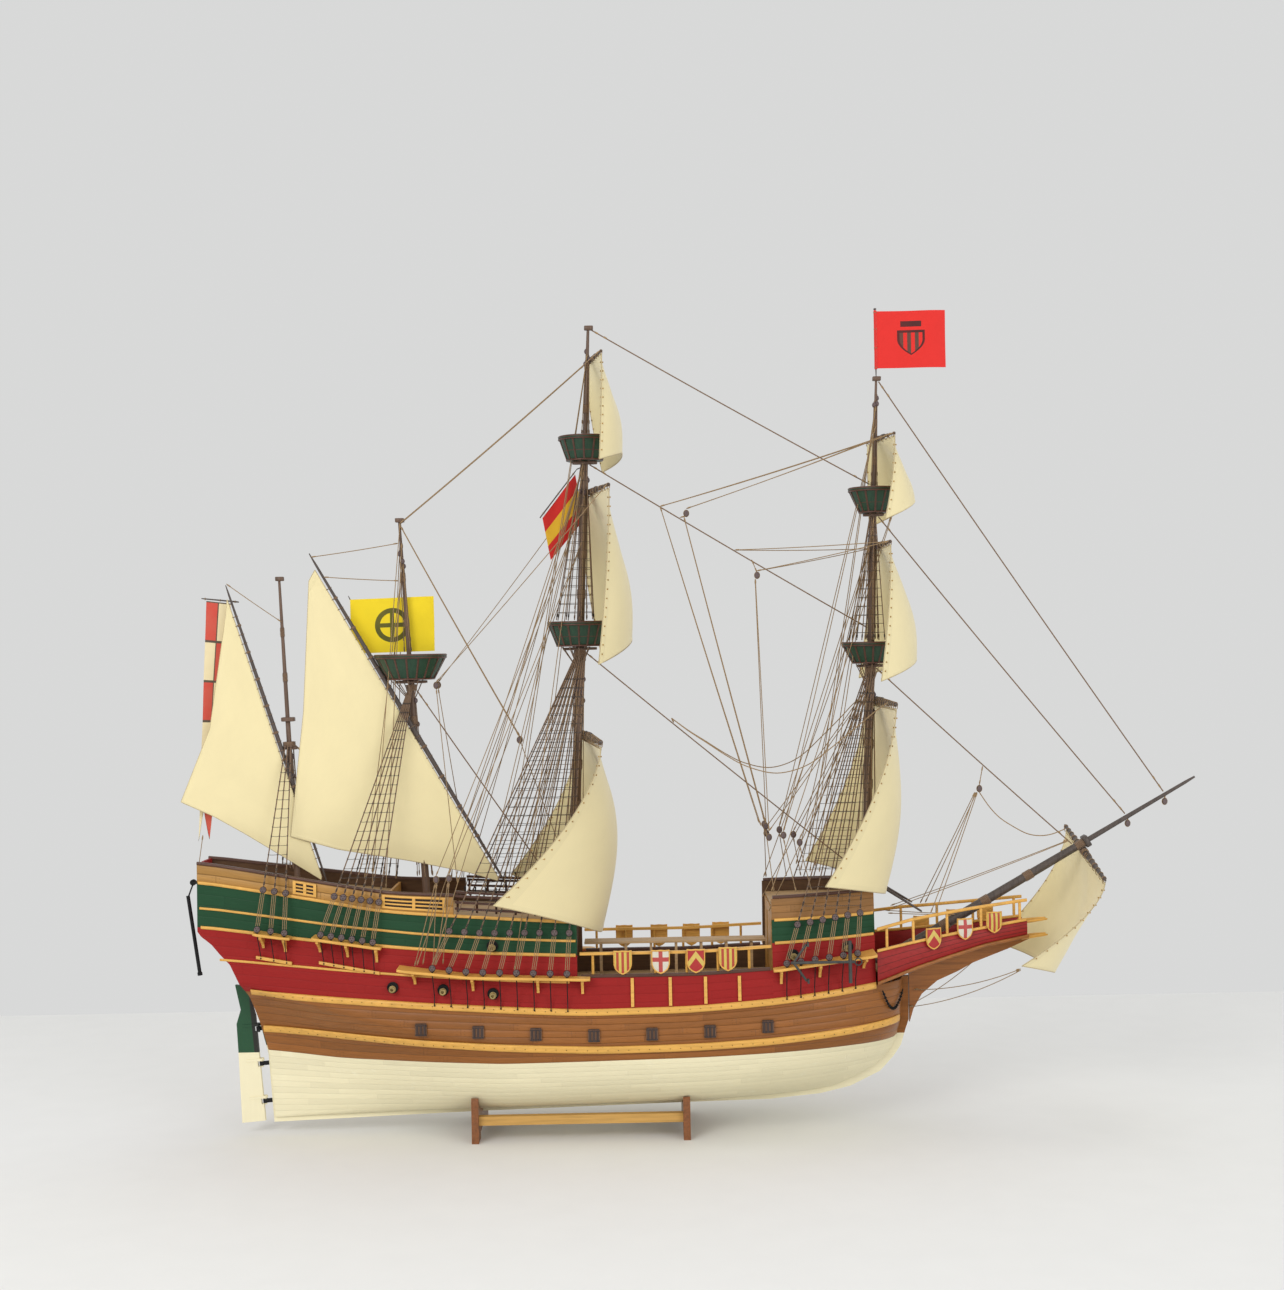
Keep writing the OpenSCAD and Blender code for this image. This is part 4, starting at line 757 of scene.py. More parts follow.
def yard_pieces():
    """The square yards, each with its cleats, slings and bands."""
    b = Build()
    for y in YARDS.values():
        a, c = Vector(yard_end(y, -1)), Vector(yard_end(y, 1))
        roll_side = (c - a).normalized()
        long, r = (c - a).length, y[3]
        profile = [(k / 40 * long * 0.001,
                    yard_r(r, abs(k / 40 - 0.5) * 2) * (0.6 if k in (0, 40) else 1) * 0.001)
                   for k in range(41)]
        b.lathe(at(*a), at(*c), profile, 20, 0)
        mid = (a + c) / 2
        for k in range(-3, 4):
            b.ring(at(*(mid + roll_side * k * 1.15)), roll_side, (r + 0.25) * 0.001, 0.0006, 1, 20)
        for side in (-1, 1):
            for far in (0.16, 0.5, 0.93):
                spot = mid + roll_side * side * far * long / 2
                for k in (-0.55, 0.55):
                    b.ring(at(*(spot + roll_side * k)), roll_side, (yard_r(r, far) + 0.2) * 0.001, 0.00045,
                           1, 16)
            spot = mid + roll_side * side * 0.09 * long
            b.block(at(*(spot + Vector((0, 0, r * 0.85)))), roll_side * 0.004, Vector((0.0007, 0, 0)),
                    (0, 0, 0.0012), 0)
    b.make("yard_spars", [yard_mat, brown_rope], nodes=["square_yards"], slot="spar_wood")


yard_pieces()

for name, y in YARDS.items():
    foot = FEET[name]
    height = 0.001 * length_of([Vector(sail_point(y, foot, 0, j / 20, 0)) for j in range(21)])
    width = 0.001 * max(2 * foot[2],
                        length_of([Vector(sail_point(y, foot, i / 20 - 1, 1, 0)) for i in range(41)]))
    cloth_piece(name, name, lambda u, v, back, y=y, foot=foot: sail_point(y, foot, 2 * u - 1, v, back),
                44, 44, width, height, [sail_mat, hem_mat])

# ---- robands: the loops that lace each square sail to its yard, and the pins along the leeches ----
robands = Build()
for name, y in YARDS.items():
    count = max(5, int(y[2] / 5))
    for k in range(count + 1):
        u = (2 * k / count - 1) * 0.985
        top = Vector(yard_end(y, 1)) - Vector((y[0], 0, y[1]))
        axis = top.normalized()
        centre = Vector((y[0], 0, y[1])) + top * 0.95 * u
        r = yard_r(y[3], abs(0.95 * u)) + 0.3
        down = Vector((0, 0, -1)) - axis * axis.dot(Vector((0, 0, -1)))
        down.normalize()
        fwd = axis.cross(down)
        low = y[3] + 1.7
        loop = [centre + fwd * r * math.cos(t) - down * r * math.sin(t)
                for t in [math.pi * i / 8 for i in range(9)]]
        loop += [centre - fwd * r * 0.8 + down * low * 0.7, centre + down * low - fwd * 0.3,
                 centre + down * low + fwd * 0.9, centre + fwd * r * 0.9 + down * low * 0.6]
        robands.tube([at(*p) for p in loop], 0.00028, 6, 0, close=True)
robands.make("robands", [tan_rope], slot="tan_cord")

pins = Build()
for name, y in YARDS.items():
    foot = FEET[name]
    for u in (-0.985, 0.985):
        count = max(6, int((y[1] - foot[1]) / 7))
        for k in range(1, count):
            p = Vector(sail_point(y, foot, u, k / count, CLOTH / 2))
            pins.lathe(at(p.x - 1.4, p.y, p.z), at(p.x + 1.4, p.y, p.z),
                       [(0, 0.0002), (0.0001, 0.00062), (0.0007, 0.00062), (0.0008, 0.00038),
                        (0.0014, 0.0003), (0.002, 0.00038), (0.0021, 0.00062), (0.0027, 0.00062),
                        (0.0028, 0.0002)], 8)
pins.make("leech_pins", [pin_mat], slot="gun_metal")

# ---- lateen yards and sails ----
LATEENS = {
    "mizzen_sail": ((-209.6, 463), (-57.8, 197), -5, 2,
                    [(0, -210), (0.25, -216), (0.5, -228), (0.63, -190), (0.8, -134), (0.92, -88), (1, -64)],
                    [(0, 441), (0.25, 337), (0.5, 238), (0.63, 227), (0.8, 217), (0.92, 207), (1, 199.5)]),
    "bonaventure_sail": ((-276.8, 439), (-200.3, 200), -4.2, 1.7,
                         [(0, -277), (0.25, -291), (0.5, -315), (0.65, -289), (0.8, -265), (0.92, -230),
                          (1, -205)],
                         [(0, 415), (0.25, 325), (0.5, 267), (0.65, 255), (0.8, 241), (0.92, 219),
                          (1, 203)])}


# Where the sail starts along its lateen yard, and how far it reaches, as shares of the yard.
LUFF_START, LUFF = 0.045, 0.93


def lateen_r(r, t):
    """Radius of a lateen yard at a share t of its length."""
    return r * (1 - 0.6 * abs(2 * t - 1) ** 1.4)


def lateen_point(s, u, v, back):
    a, b, y0, r, ex, ez = s
    long = math.dist(a, b)
    along = ((b[0] - a[0]) / long, (b[1] - a[1]) / long)
    t = LUFF_START + LUFF * u
    top = (a[0] + (b[0] - a[0]) * t + along[1] * (r + 0.8), a[1] + (b[1] - a[1]) * t - along[0] * (r + 0.8))
    x, z = lookup(u, ex), lookup(u, ez)
    ripple = 0.6 * math.sin(9 * u + 4 * v) * math.sin(math.pi * u) * math.sin(math.pi * v)
    return (top[0] + (x - top[0]) * v, y0 - 4 * math.sin(math.pi * u) * math.sin(math.radians(150 * v))
            - back + ripple, top[1] + (z - top[1]) * v)


lateen_yards = Build()
for name, s in LATEENS.items():
    a, b, y0, r, ex, ez = s
    long = math.dist(a, b)
    p, q = Vector((a[0], y0, a[1])), Vector((b[0], y0, b[1]))
    profile = [(long * 0.001 * k / 30, 0.001 * lateen_r(r, k / 30) * (0.5 if k in (0, 30) else 1))
               for k in range(31)]
    lateen_yards.lathe(at(*p), at(*q), profile, 20, 0)
    axis = (q - p).normalized()
    for k in range(2, 30):
        t = LUFF_START + LUFF * k / 31
        spot, radius = p + (q - p) * t, lateen_r(r, t)
        for side in (-0.5, 0.5):
            if k % 3 == 0:
                lateen_yards.ring(at(*(spot + axis * side)), axis, (radius + 0.18) * 0.001, 0.0004, 1, 16)
        below = Vector((axis.z, 0, -axis.x)) * (r + 1.4)
        outward = Vector((0, 1, 0))
        wrap = [spot + (outward * math.cos(a) - below.normalized() * math.sin(a)) * (radius + 0.3)
                for a in [math.pi * i / 7 for i in range(8)]] + [spot + below + Vector((0, -0.7, 0)),
                                                                 spot + below + Vector((0, 0.5, 0))]
        lateen_yards.tube([at(*w) for w in wrap], 0.00027, 6, 1, close=True)
    width = (long * LUFF) * 0.001
    height = 0.001 * max(math.dist(lateen_point(s, u, 0, 0), lateen_point(s, u, 1, 0))
                         for u in (0.3, 0.4, 0.5, 0.6))
    cloth_piece(name, name, lambda u, v, back, s=s: lateen_point(s, u, v, back), 44, 36, width, height,
                [sail_mat, hem_mat])
lateen_yards.make("lateen_spars", [spar_mat, brown_rope], nodes=["lateen_yards"], slot="spar_wood")


# ---- loose parts of a CAD node, as arrays of points in metres ----
def parts_of(node):
    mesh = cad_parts[node].data
    n = len(mesh.vertices)
    co = np.zeros(n * 3)
    mesh.vertices.foreach_get("co", co)
    co = co.reshape(-1, 3)
    world = np.array(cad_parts[node].matrix_world)
    co = co @ world[:3, :3].T + world[:3, 3]
    keys = np.round(co * 1e6).astype(np.int64)
    _, same = np.unique(keys, axis=0, return_inverse=True)
    same = same.ravel()
    parent = list(range(int(same.max()) + 1))

    def root(i):
        while parent[i] != i:
            parent[i] = parent[parent[i]]
            i = parent[i]
        return i

    for polygon in mesh.polygons:
        first = root(int(same[polygon.vertices[0]]))
        for k in polygon.vertices[1:]:
            other = root(int(same[k]))
            if other != first:
                parent[other] = first
    groups = {}
    for i in range(n):
        groups.setdefault(root(int(same[i])), []).append(i)
    found = [np.unique(np.round(co[g], 7), axis=0) for g in groups.values()]
    return sorted(found, key=lambda g: tuple(np.round(g.mean(axis=0), 5)))


def ends_of(points):
    """The two ends of a straight rod and its radius."""
    mid = points.mean(axis=0)
    _, _, rows = np.linalg.svd(points - mid)
    t = (points - mid) @ rows[0]
    a, b = mid + rows[0] * t.min(), mid + rows[0] * t.max()
    off = (points - mid) - np.outer(t, rows[0])
    return Vector(a), Vector(b), float(np.median(np.linalg.norm(off, axis=1)))


def line_between(a, b, sag, n):
    """Points from a to b with a slight sag in the middle."""
    return [a + (b - a) * (i / n) - Vector((0, 0, 4 * sag * (i / n) * (1 - i / n))) for i in range(n + 1)]


def seizing(b, end, way, r, m, proud=1.4, waist=1.25, long=0.0028):
    """A few turns of thin line that bind a rope's end."""
    turns = [(0.0003 + 0.0005 * k, r * (waist if k % 2 else proud)) for k in range(5)]
    b.lathe(end, end + way * long, [(0, r)] + turns + [(long, r)], 8, m)


def rigging(name, node, mat, sag, slot, sides=8, seize=(), steps=8):
    """A rope along each rod of a CAD node."""
    b = Build()
    for part in parts_of(node):
        a, c, r = ends_of(part)
        if a.z > c.z:
            a, c = c, a
        long = (c - a).length
        b.tube(line_between(a, c, long * sag, steps), r, sides, 0)
        axis = (c - a).normalized()
        for end, way in ((a, axis), (c, -axis)):
            for first in seize:
                if long > first + 0.008:
                    seizing(b, end + way * first, way, r, 1, 1.5, 1.35, 0.003)
    b.make(name, [mat, tan_rope], nodes=[node], slot=slot)


# ---- standing and running rigging ----
# Each side's shrouds: mast, feet along X, half distance between feet, channel line,
# hounds height and radius, aft turn.
RIGS = [(MAIN, [-109.9 + 12.8 * i for i in range(9)], 73, [(-137, 140), (-81, 133.5), (10, 130.3)],
         376, 4.4, 200),
        (FORE, [160 + 10.8 * i for i in range(6)], 71.5, [(150, 134), (229, 144)], 359, 4, 210),
        (MIZZEN, [-197 + 8 * i for i in range(6)], 58, [(-204, 163), (-151, 154.4)], 354, 3.8, 240),
        (BONA, [-248 + 10.5 * i for i in range(3)], 47, [(-251.5, 165.7), (-223, 161.5)], 311, 4.6, 240)]
TOP_RIGS = [(MAIN, 406, 23, 530, 3.4), (FORE, 385.5, 20, 484, 3.2)]
DEADEYE_R, DEADEYE_GAP = 2.5, 31
# Each top: mast, floor height and radius, rim height and radius, radius of the mast's hole.
TOPS = [(MAIN, 385, 18, 404.7, 25, 4.4), (MAIN, 533, 14, 552.5, 20, 3.2), (FORE, 367, 14, 384, 22, 4),
        (FORE, 487, 11, 507, 19, 3), (MIZZEN, 361, 18.5, 381, 28, 3.4)]


def foot_point(r, i, side):
    return Vector((r[1][i], -side * r[2], lookup(r[1][i], r[3]) + 2.6 + DEADEYE_R))


def head_point(r, i, side):
    turn = math.radians(r[6] + (540 - 2 * r[6]) * i / (len(r[1]) - 1))
    z = r[4] + 0.9 * i
    return Vector((mast_x(r[0], z) + r[5] * math.cos(turn), side * r[5] * math.sin(turn), z))


def rim_point(t, i, side, high=False):
    turn = math.radians(215 + 27 * i)
    z, radius = (t[3], t[4]) if high else (t[1], t[2])
    return Vector((mast_x(t[0], z) + radius * math.cos(turn), side * radius * math.sin(turn), z))


def mm(p):
    return at(p[0], p[1], p[2])


shrouds, ratlines = Build(), Build()
for side in (1, -1):
    for r in RIGS:
        lines = []
        for i in range(len(r[1])):
            foot, head = foot_point(r, i, side), head_point(r, i, side)
            way = (head - foot).normalized()
            low = foot + way * (DEADEYE_GAP + DEADEYE_R + 0.3)
            lines.append((foot, head))
            shrouds.tube([mm(low + (head - low) * k / 6) for k in range(7)], 0.00048, 8, 0)
            for far in (1.0, 7.0, 13.0):
                seizing(shrouds, mm(low + way * far), way, 0.00052, 1)
        z = foot_point(r, 0, side).z + DEADEYE_GAP + 11
        while z <= r[4] - 12:
            spots = [foot + (head - foot) * ((z - foot.z) / (head.z - foot.z)) for foot, head in lines]
            points = []
            for a, c in zip(spots, spots[1:]):
                long = (c - a).length
                for k in range(4):
                    f = k / 4
                    points.append(a + (c - a) * f
                                  + Vector((0, -side * 0.75, -0.16 * long * f * (1 - f)
                                            + 0.06 * rng.uniform(-1, 1))))
            points.append(spots[-1] + Vector((0, -side * 0.75, 0)))
            ratlines.tube([mm(p) for p in points], 0.00021, 6, 0)
            for p in spots:
                k = mm(p + Vector((0, -side * 0.3, 0)))
                ratlines.lathe(k - Vector((0.0005, 0, 0.0001)), k + Vector((0.0005, 0, 0.0001)),
                               [(0, 0.0002), (0.0002, 0.0007), (0.0005, 0.0006), (0.0008, 0.0007),
                                (0.001, 0.0002)], 6, 0)
            z += 7
    for t in TOP_RIGS:
        for i in range(4):
            a, c = rim_point(t, i, side), rim_point(t, i, side, True)
            shrouds.tube([mm(a + (c - a) * k / 4) for k in range(5)], 0.0004, 8, 0)
            seizing(shrouds, mm(a + (c - a) * 0.02), (c - a).normalized(), 0.00045, 1)
        z = t[1] + 6
        while z <= t[3] - 5:
            spots = []
            for i in range(4):
                a, c = rim_point(t, i, side), rim_point(t, i, side, True)
                spots.append(a + (c - a) * ((z - a.z) / (c.z - a.z)))
            out = Vector((0, side * -0.6, 0))
            ratlines.tube([mm(p + out) for p in spots], 0.0002, 6, 0)
            z += 7
    for m, z0, r0, z1, r1, hole in (TOPS[0], TOPS[2], TOPS[4]):
        for i in range(4):
            turn = math.radians(215 + 27 * i)
            low = Vector((mast_x(m, z0 - 14) + 5.4 * math.cos(turn), side * 5.4 * math.sin(turn), z0 - 14))
            high = Vector((mast_x(m, z0) + (r0 - 1) * math.cos(turn), side * (r0 - 1) * math.sin(turn),
                           z0 - 0.6))
            shrouds.tube([mm(low + (high - low) * k / 3) for k in range(4)], 0.0004, 8, 0)
for m, z, r, count in ((MAIN, 374, 4.9, 9), (FORE, 357, 4.5, 8), (MIZZEN, 352.4, 4.3, 5),
                       (BONA, 309.6, 5.0, 4)):
    for k in range(count):
        shrouds.ring(at(mast_x(m, z + k), 0, z + k), Vector((m[2], 0, 1)), (r - 0.35) * 0.001, 0.00055, 0,
                     24, 6)
shrouds.make("shroud_ropes", [brown_rope, dark_rope], nodes=["shrouds"], slot="brown_cord")
ratlines.make("ratline_ropes", [dark_rope], nodes=["ratlines"], slot="dark_cord")


def both_ends(y, to):
    """A line from each arm of a yard."""
    behind = Vector((y[3] * 0.45 + 0.7, 0, 0))
    return [(Vector(yard_end(y, s * 0.97)) - behind, (to[0], s * to[1], to[2])) for s in (-1, 1)]


def by_mast(m, z, y, aft=0):
    """A point y off the middle of a mast, at height z."""
    return mast_x(m, z) - aft, y, z


# Thin lines that both sides have, from the port side's end to end.
PAIRED = [((90, 2, 486.4), (150, 9, 242)),
          ((146, 2, 436), (152, 16.6, 236)),
          ((150, 9, 236), (153, 46, 192)),
          ((163, 22, 230), (170, 48, 192)),
          ((175, 30, 225), (182, 50, 192)),
          ((163, 22, 236), by_mast(FORE, 470, 3)),
          ((175, 30, 231), by_mast(FORE, 352, 5.4)),
          ((320, 1.4, 262), (281, 26.6, 171)),
          ((318.6, 1.4, 262), (277, 27.6, 170.4)),
          ((-107, 60, 211), by_mast(MAIN, 500, 3.4)),
          ((-97, 62, 212), by_mast(MAIN, 470, 3.6)),
          ((-107, 60, 205), (-110, 63, 145)),
          ((-97, 62, 206), (-102.5, 65, 144)),
          ((-110, 7, 353), (-92, 48, 204)),
          ((-137, 2, 484), (-45, 4, 314)),
          ((340, 61, 131), (266, 4, 106)),
          ((340, 61, 130), (262, 3, 92)),
          ((-107.8, 60, 205), (-124, 66, 143)),
          ((-106.4, 60, 205), (-118, 64, 144)),
          ((-97.8, 62, 206), (-108, 66, 144)),
          ((-110, 70, 144), by_mast(MAIN, 531, 2.6, 1)),
          ((-122, 68, 144), by_mast(MAIN, 529, 3, 1)),
          ((-48, 66, 138), by_mast(MAIN, 533, 3, 1)),
          ((151, 46, 192), (FORE[0] + 26, 3, 484)),
          ((149, 40, 176), by_mast(FORE, 346, 5)),
          ((-150, 30, 198), (-136, 2.4, 470)),
          ((-160, 36, 200), (-137, 2.4, 486)),
          ((246, 8, 168), (300, 2, 165)),
          ((250, 6, 172), (392, 1.5, 222)),
          ((184, 14, 203), by_mast(FORE, 572, 2)),
          ((191, 18, 203), by_mast(FORE, 483, 4)),
          ((176, 21, 205), by_mast(FORE, 478, 4)),
          ((163, 22, 236), by_mast(FORE, 556, 2)),
          ((152, 16.6, 236), by_mast(FORE, 350, 5)),
          ((71, 0.9, 495.6), (146, 12, 240)),
          ((-58, 30, 196), by_mast(MAIN, 618, 2)),
          ((-72, 36, 198), by_mast(MAIN, 526, 4)),
          ((-40, 26, 194), by_mast(MAIN, 370, 5)),
          ((-168, 20, 205), by_mast(MIZZEN, 452, 2)),
          ((-52, 40, 193), by_mast(MAIN, 372, 5)),
          ((77, 1.2, 326), (78.5, 0.3, 322.6))]
# Lifts, pendants and straps that are there once.
SINGLE = [((-276, -5, 440), by_mast(BONA, 409, -1.6)),
          ((-208, -6.6, 460), (-139, -1.6, 470)),
          ((-198, -6, 444), (-139, -1.6, 440)),
          ((322, 0, 268), (325, 0, 283)),
          ((-299, -3, 240), (-303, -6, 210)),
          ((91.8, 0, 487.6), (86.6, 0, 486.4)),
          ((147.5, 0, 441.2), (143.4, 0, 451.6)),
          ((440, 0, 237), (440.6, 0, 240.6)),
          ((470, 0, 254), (470.6, 0, 257.6)),
          ((-45, 1, 311), by_mast(MAIN, 205, 1.5, 4))]
# The braces: each yard's two arms to one point, or to a pair of points either side of it.
ARMS = [("main_topgallant", (-137, 2.4, 486)), ("main_topsail", (-110, 8.9, 358.4)),
        ("fore_topgallant", (92, 1, 493.4)), ("fore_topsail", (147.5, 1, 442.6)),
        ("fore_topgallant", (71, 0.9, 495.6)), ("fore_topsail", (130, 0.9, 459.6))]
BRACES = SINGLE + [line for yard, to in ARMS for line in both_ends(YARDS[yard], to)]
BRACES += [((a[0], s * a[1], a[2]), (c[0], s * c[1], c[2])) for a, c in PAIRED for s in (-1, 1)]
braces = Build()
for a, c in BRACES:
    a, c = mm(a), mm(c)
    long = (c - a).length
    slack = 0.045 if min(a.z, c.z) < 0.11 else 0.006
    braces.tube(line_between(a, c, long * slack, 16), 0.00034, 6, 0)
    way = (c - a).normalized()
    seizing(braces, a + way * 0.001, way, 0.00042, 0)
    seizing(braces, c - way * 0.001, -way, 0.00042, 0)
braces.make("brace_ropes", [tan_rope], nodes=["braces"], slot="tan_cord")
rigging("stay_ropes", "stays", brown_rope, 0.004, "brown_cord", seize=(0.004, 0.012), steps=14)
rigging("lanyard_ropes", "lanyards", tan_rope, 0.0, "tan_cord", sides=6, steps=2)

# ---- deadeyes: grooved discs with three holes, strapped in iron, with dark rope in the holes ----
deadeyes = Build()
for part in parts_of("deadeyes"):
    mid = Vector(part.mean(axis=0))
    _, _, rows = np.linalg.svd(part - part.mean(axis=0))
    spread = [np.ptp((part - part.mean(axis=0)) @ row) for row in rows]
    axis = Vector(rows[int(np.argmin(spread))])
    if axis.y < 0:
        axis.negate()
    r = max(spread) / 2
    profile = [(0, 0.55 * r), (0.0001, 0.72 * r), (0.0005, 0.93 * r), (0.0008, 0.97 * r),
               (0.00095, 0.9 * r), (0.00125, 0.9 * r), (0.0014, 0.97 * r), (0.0017, 0.93 * r),
               (0.0021, 0.72 * r), (0.0022, 0.55 * r)]
    start = mid - axis * 0.0011
    deadeyes.lathe(start, mid + axis * 0.0011, profile, 24, 0)
    deadeyes.ring(mid, axis, r * 0.97, 0.00032, 1, 24, 6)
    up = Vector((0, 0, 1))
    up = (up - axis * up.dot(axis)).normalized()
    side = axis.cross(up)
    for face in (-1, 1):
        for turn in (-90, 30, 150):
            t = math.radians(turn)
            hole = mid + axis * 0.00105 * face + (side * math.cos(t) + up * math.sin(t)) * r * 0.42
            deadeyes.ring(hole, axis, 0.0004, 0.00016, 2, 10, 6)
            deadeyes.lathe(hole - axis * 0.0001, hole + axis * 0.0001, [(0, 0.0003), (0.0002, 0.0003)], 10, 2)
deadeyes.make("deadeye_discs", [block_mat, iron_mat, dark_rope], nodes=["deadeyes"], slot="dark_block")

# ---- blocks: shelled pulleys with a sheave and a rope strap ----
blocks = Build()
for part in parts_of("blocks"):
    mid = Vector(part.mean(axis=0))
    for cheek in (-0.0009, 0.0009):
        rows, uvs = [], []
        for w, s in ((-0.00055, 0.55), (-0.00042, 0.9), (0, 1.0), (0.00042, 0.9), (0.00055, 0.55)):
            centre = mid + Vector((0, cheek + w, 0))
            rows.append(circle(centre, Vector((0.0019 * s, 0, 0)), Vector((0, 0, 0.0025 * s)), 1, 18))
            uvs.append(girth(18, w + 0.0006))
        blocks.prism(rows, uvs, 0, flip=True)
    blocks.lathe(mid - Vector((0, 0.0005, 0)), mid + Vector((0, 0.0005, 0)),
                 [(0, 0.0014), (0.0003, 0.0011), (0.0007, 0.0011), (0.001, 0.0014)], 16, 1)
    strap = circle(mid, Vector((0.0021, 0, 0)), Vector((0, 0, 0.0027)), 1, 20)
    blocks.tube(strap, 0.0003, 6, 2, close=True)
blocks.make("pulley_blocks", [block_mat, pin_mat, tan_rope], nodes=["blocks"], slot="dark_block")


# ---- small fittings on the sides ----
def bolt(b, place, out, r=0.0007, m=1):
    """A domed bolt head."""
    out = Vector(out).normalized()
    b.lathe(place, place + out * 0.0009, [(0, r), (0.0004, r * 0.95), (0.0007, r * 0.7), (0.0009, r * 0.3)],
            10, m)


def plate(b, x0, x1, low, high, proud, m, base=0.0):
    """A thin board bent to the hull on both sides; low and high give its edges along X."""
    steps = max(2, int((x1 - x0) / 3))
    for side in (1, -1):
        front, back, uvs = [], [], []
        for k in range(4):
            inset = 0.15 if k in (0, 3) else 0.0
            share = (0, 0.08, 0.92, 1)[k]
            row, under, uv = [], [], []
            for i in range(steps + 1):
                x = x0 + (x1 - x0) * i / steps
                z = low(x) + (high(x) - low(x)) * share
                p, q = hull_point(x, z, base + proud - inset), hull_point(x, z, base)
                row.append(at(p[0], side * p[1], p[2]))
                under.append(at(q[0], side * q[1], q[2]))
                uv.append((x * 0.001, share))
            front.append(row)
            back.append(under)
            uvs.append(uv)
        if side > 0:
            front, back, uvs = [r[::-1] for r in front], [r[::-1] for r in back], [r[::-1] for r in uvs]
        b.shell(front, back, uvs, m)


fittings = Build()
for x0, x1 in ((-151, -101), (-222, -203)):
    floor_z, roof_z = (lambda x: soft(x, GREEN_LINE) + 2.2), (lambda x: soft(x, TOP_LINE) - 0.8)

    def level(t):
        return lambda x: floor_z(x) + (roof_z(x) - floor_z(x)) * t

    plate(fittings, x0, x1, level(0), level(1), 0.25, 2, 0.25)
    for t0, t1 in ((0, 0.16), (0.3, 0.42), (0.56, 0.68), (0.84, 1)):
        plate(fittings, x0, x1, level(t0), level(t1), 1.0, 0, 0.35)
    for x in (x0, x1 - 2.4, (x0 + x1) / 2 - 1):
        plate(fittings, x, x + 2.4, level(0), level(1), 1.25, 0, 0.35)
for r in RIGS[2:]:
    plate(fittings, r[1][0] - 4, r[1][-1] + 4, lambda x, r=r: lookup(x, r[3]) - 20.6,
          lambda x, r=r: lookup(x, r[3]) - 18.2, 2.8, 0)
for r in RIGS:
    for side in (1, -1):
        for x in r[1]:
            z = lookup(x, r[3])
            low = Vector((x, side * (half(x, z - 18) + 2.9), z - 18))
            if r in RIGS[:2]:
                w = soft(x, HIGH_WALE) + 1.2
                foot = Vector((x, side * (half(x, w) + 3.1), w))
                fittings.tube([mm(low + Vector((0, 0, 1))), mm(low), mm(foot)], 0.0004, 6, 1)
            else:
                foot = low + Vector((0, 0, -1.4))
            bolt(fittings, mm(foot) - Vector((0, side * 0.0003, 0)), (0, side, 0))
            bolt(fittings, mm(Vector((x, side * r[2], z + 2))), (0, 0, 1), 0.0009)
for side in (1, -1):
    for k in range(62):
        x = -246 + 7.9 * k
        for line in (HIGH_WALE, LOW_WALE):
            if x > (226 if line is HIGH_WALE else 244):
                continue
            p = hull_point(x, soft(x, line), 2.15 if line is HIGH_WALE else 1.95)
            bolt(fittings, at(p[0], side * p[1], p[2]), (0, side, 0), 0.00032)
    for x in range(-86, -6, 8):
        z = soft(x, GREEN_LINE) + 18.4
        fittings.lathe(at(x, side * (half(x, z) - 3.4), z), at(x, side * (half(x, z) - 3.4), z + 4.4),
                       [(0, 0.0006), (0.0015, 0.0006), (0.002, 0.00045), (0.0034, 0.0007), (0.0042, 0.0006),
                        (0.0044, 0.0002)], 10, 1)
    loop = []
    for k in range(17):
        x = 236 + 19 * k / 16
        z = 113 - 3 * k / 16 - 14 * math.sin(math.pi * k / 16)
        p = hull_point(x, z, 2.6)
        loop.append(at(p[0], side * (p[1] + 0.4), p[2]))
    fittings.tube(loop, 0.0006, 8, 1)
    for k in range(1, 16):
        fittings.ring(loop[k], loop[min(16, k + 1)] - loop[k - 1], 0.0009, 0.00035, 1, 10, 6)
    fittings.lathe(at(240, side * 14, 190.6), at(271, side * 27, 171),
                   [(0, 0.0011), (0.012, 0.0011), (0.037, 0.0008), (0.038, 0.0004)], 14, 3)
    for z in (146.5, 159):
        fittings.lathe(at(352, side * 6.4, z - 0.8), at(374, side * 3.4, z + 1.4),
                       [(0, 0.0012), (0.016, 0.001), (0.0215, 0.0007), (0.022, 0.0003)], 14, 0)
fittings.make("side_fittings", [ochre_mat, iron_mat, slot_mat, spar_mat], slot="ochre_paint")

# ---- the head: red boards between ochre strips, with an open rail above ----
HEAD_LOW = [(231, 119), (266, 128.7), (322, 142.5), (358, 148)]
HEAD_HIGH = [(231, 143.5), (354, 160)]
HEAD_RAIL = [(231, 160), (262, 165.5), (310, 171), (355, 175.5)]
HEAD_HALF = [(231, 47), (257, 35), (285, 25), (312, 18), (357, 9)]


def head_bar(b, low, high, out, thick, aft, fore, m):
    """A rounded bar or board that follows the head's side; low and high are its edges along X."""
    for side in (1, -1):
        rings, uvs = [], []
        for i in range(33):
            x = aft + (fore - aft) * i / 32
            y, z0, z1 = lookup(x, HEAD_HALF) + out, low(x), high(x)
            c = min(0.5, (z1 - z0) * 0.2)
            rings.append([at(x, side * (y + q), z) for q, z in ((0, z0 + c), (0, z1 - c), (c, z1),
                                                                (thick - c, z1), (thick, z1 - c),
                                                                (thick, z0 + c), (thick - c, z0), (c, z0))])
            uvs.append(girth(8, x * 0.001))
        b.prism(rings, uvs, m, flip=side < 0)


def off(line, up):
    return lambda x: lookup(x, line) + up


head = Build()
head_bar(head, off(HEAD_LOW, 1.6), off(HEAD_HIGH, 0), 0, 1.7, 232, 356, 0)


def seam(k, up):
    """The k-th of three seams between the red boards, moved up a little."""
    return lambda x: off(HEAD_LOW, 1.6)(x) + (lookup(x, HEAD_HIGH) - lookup(x, HEAD_LOW) - 1.6) * k / 4 + up


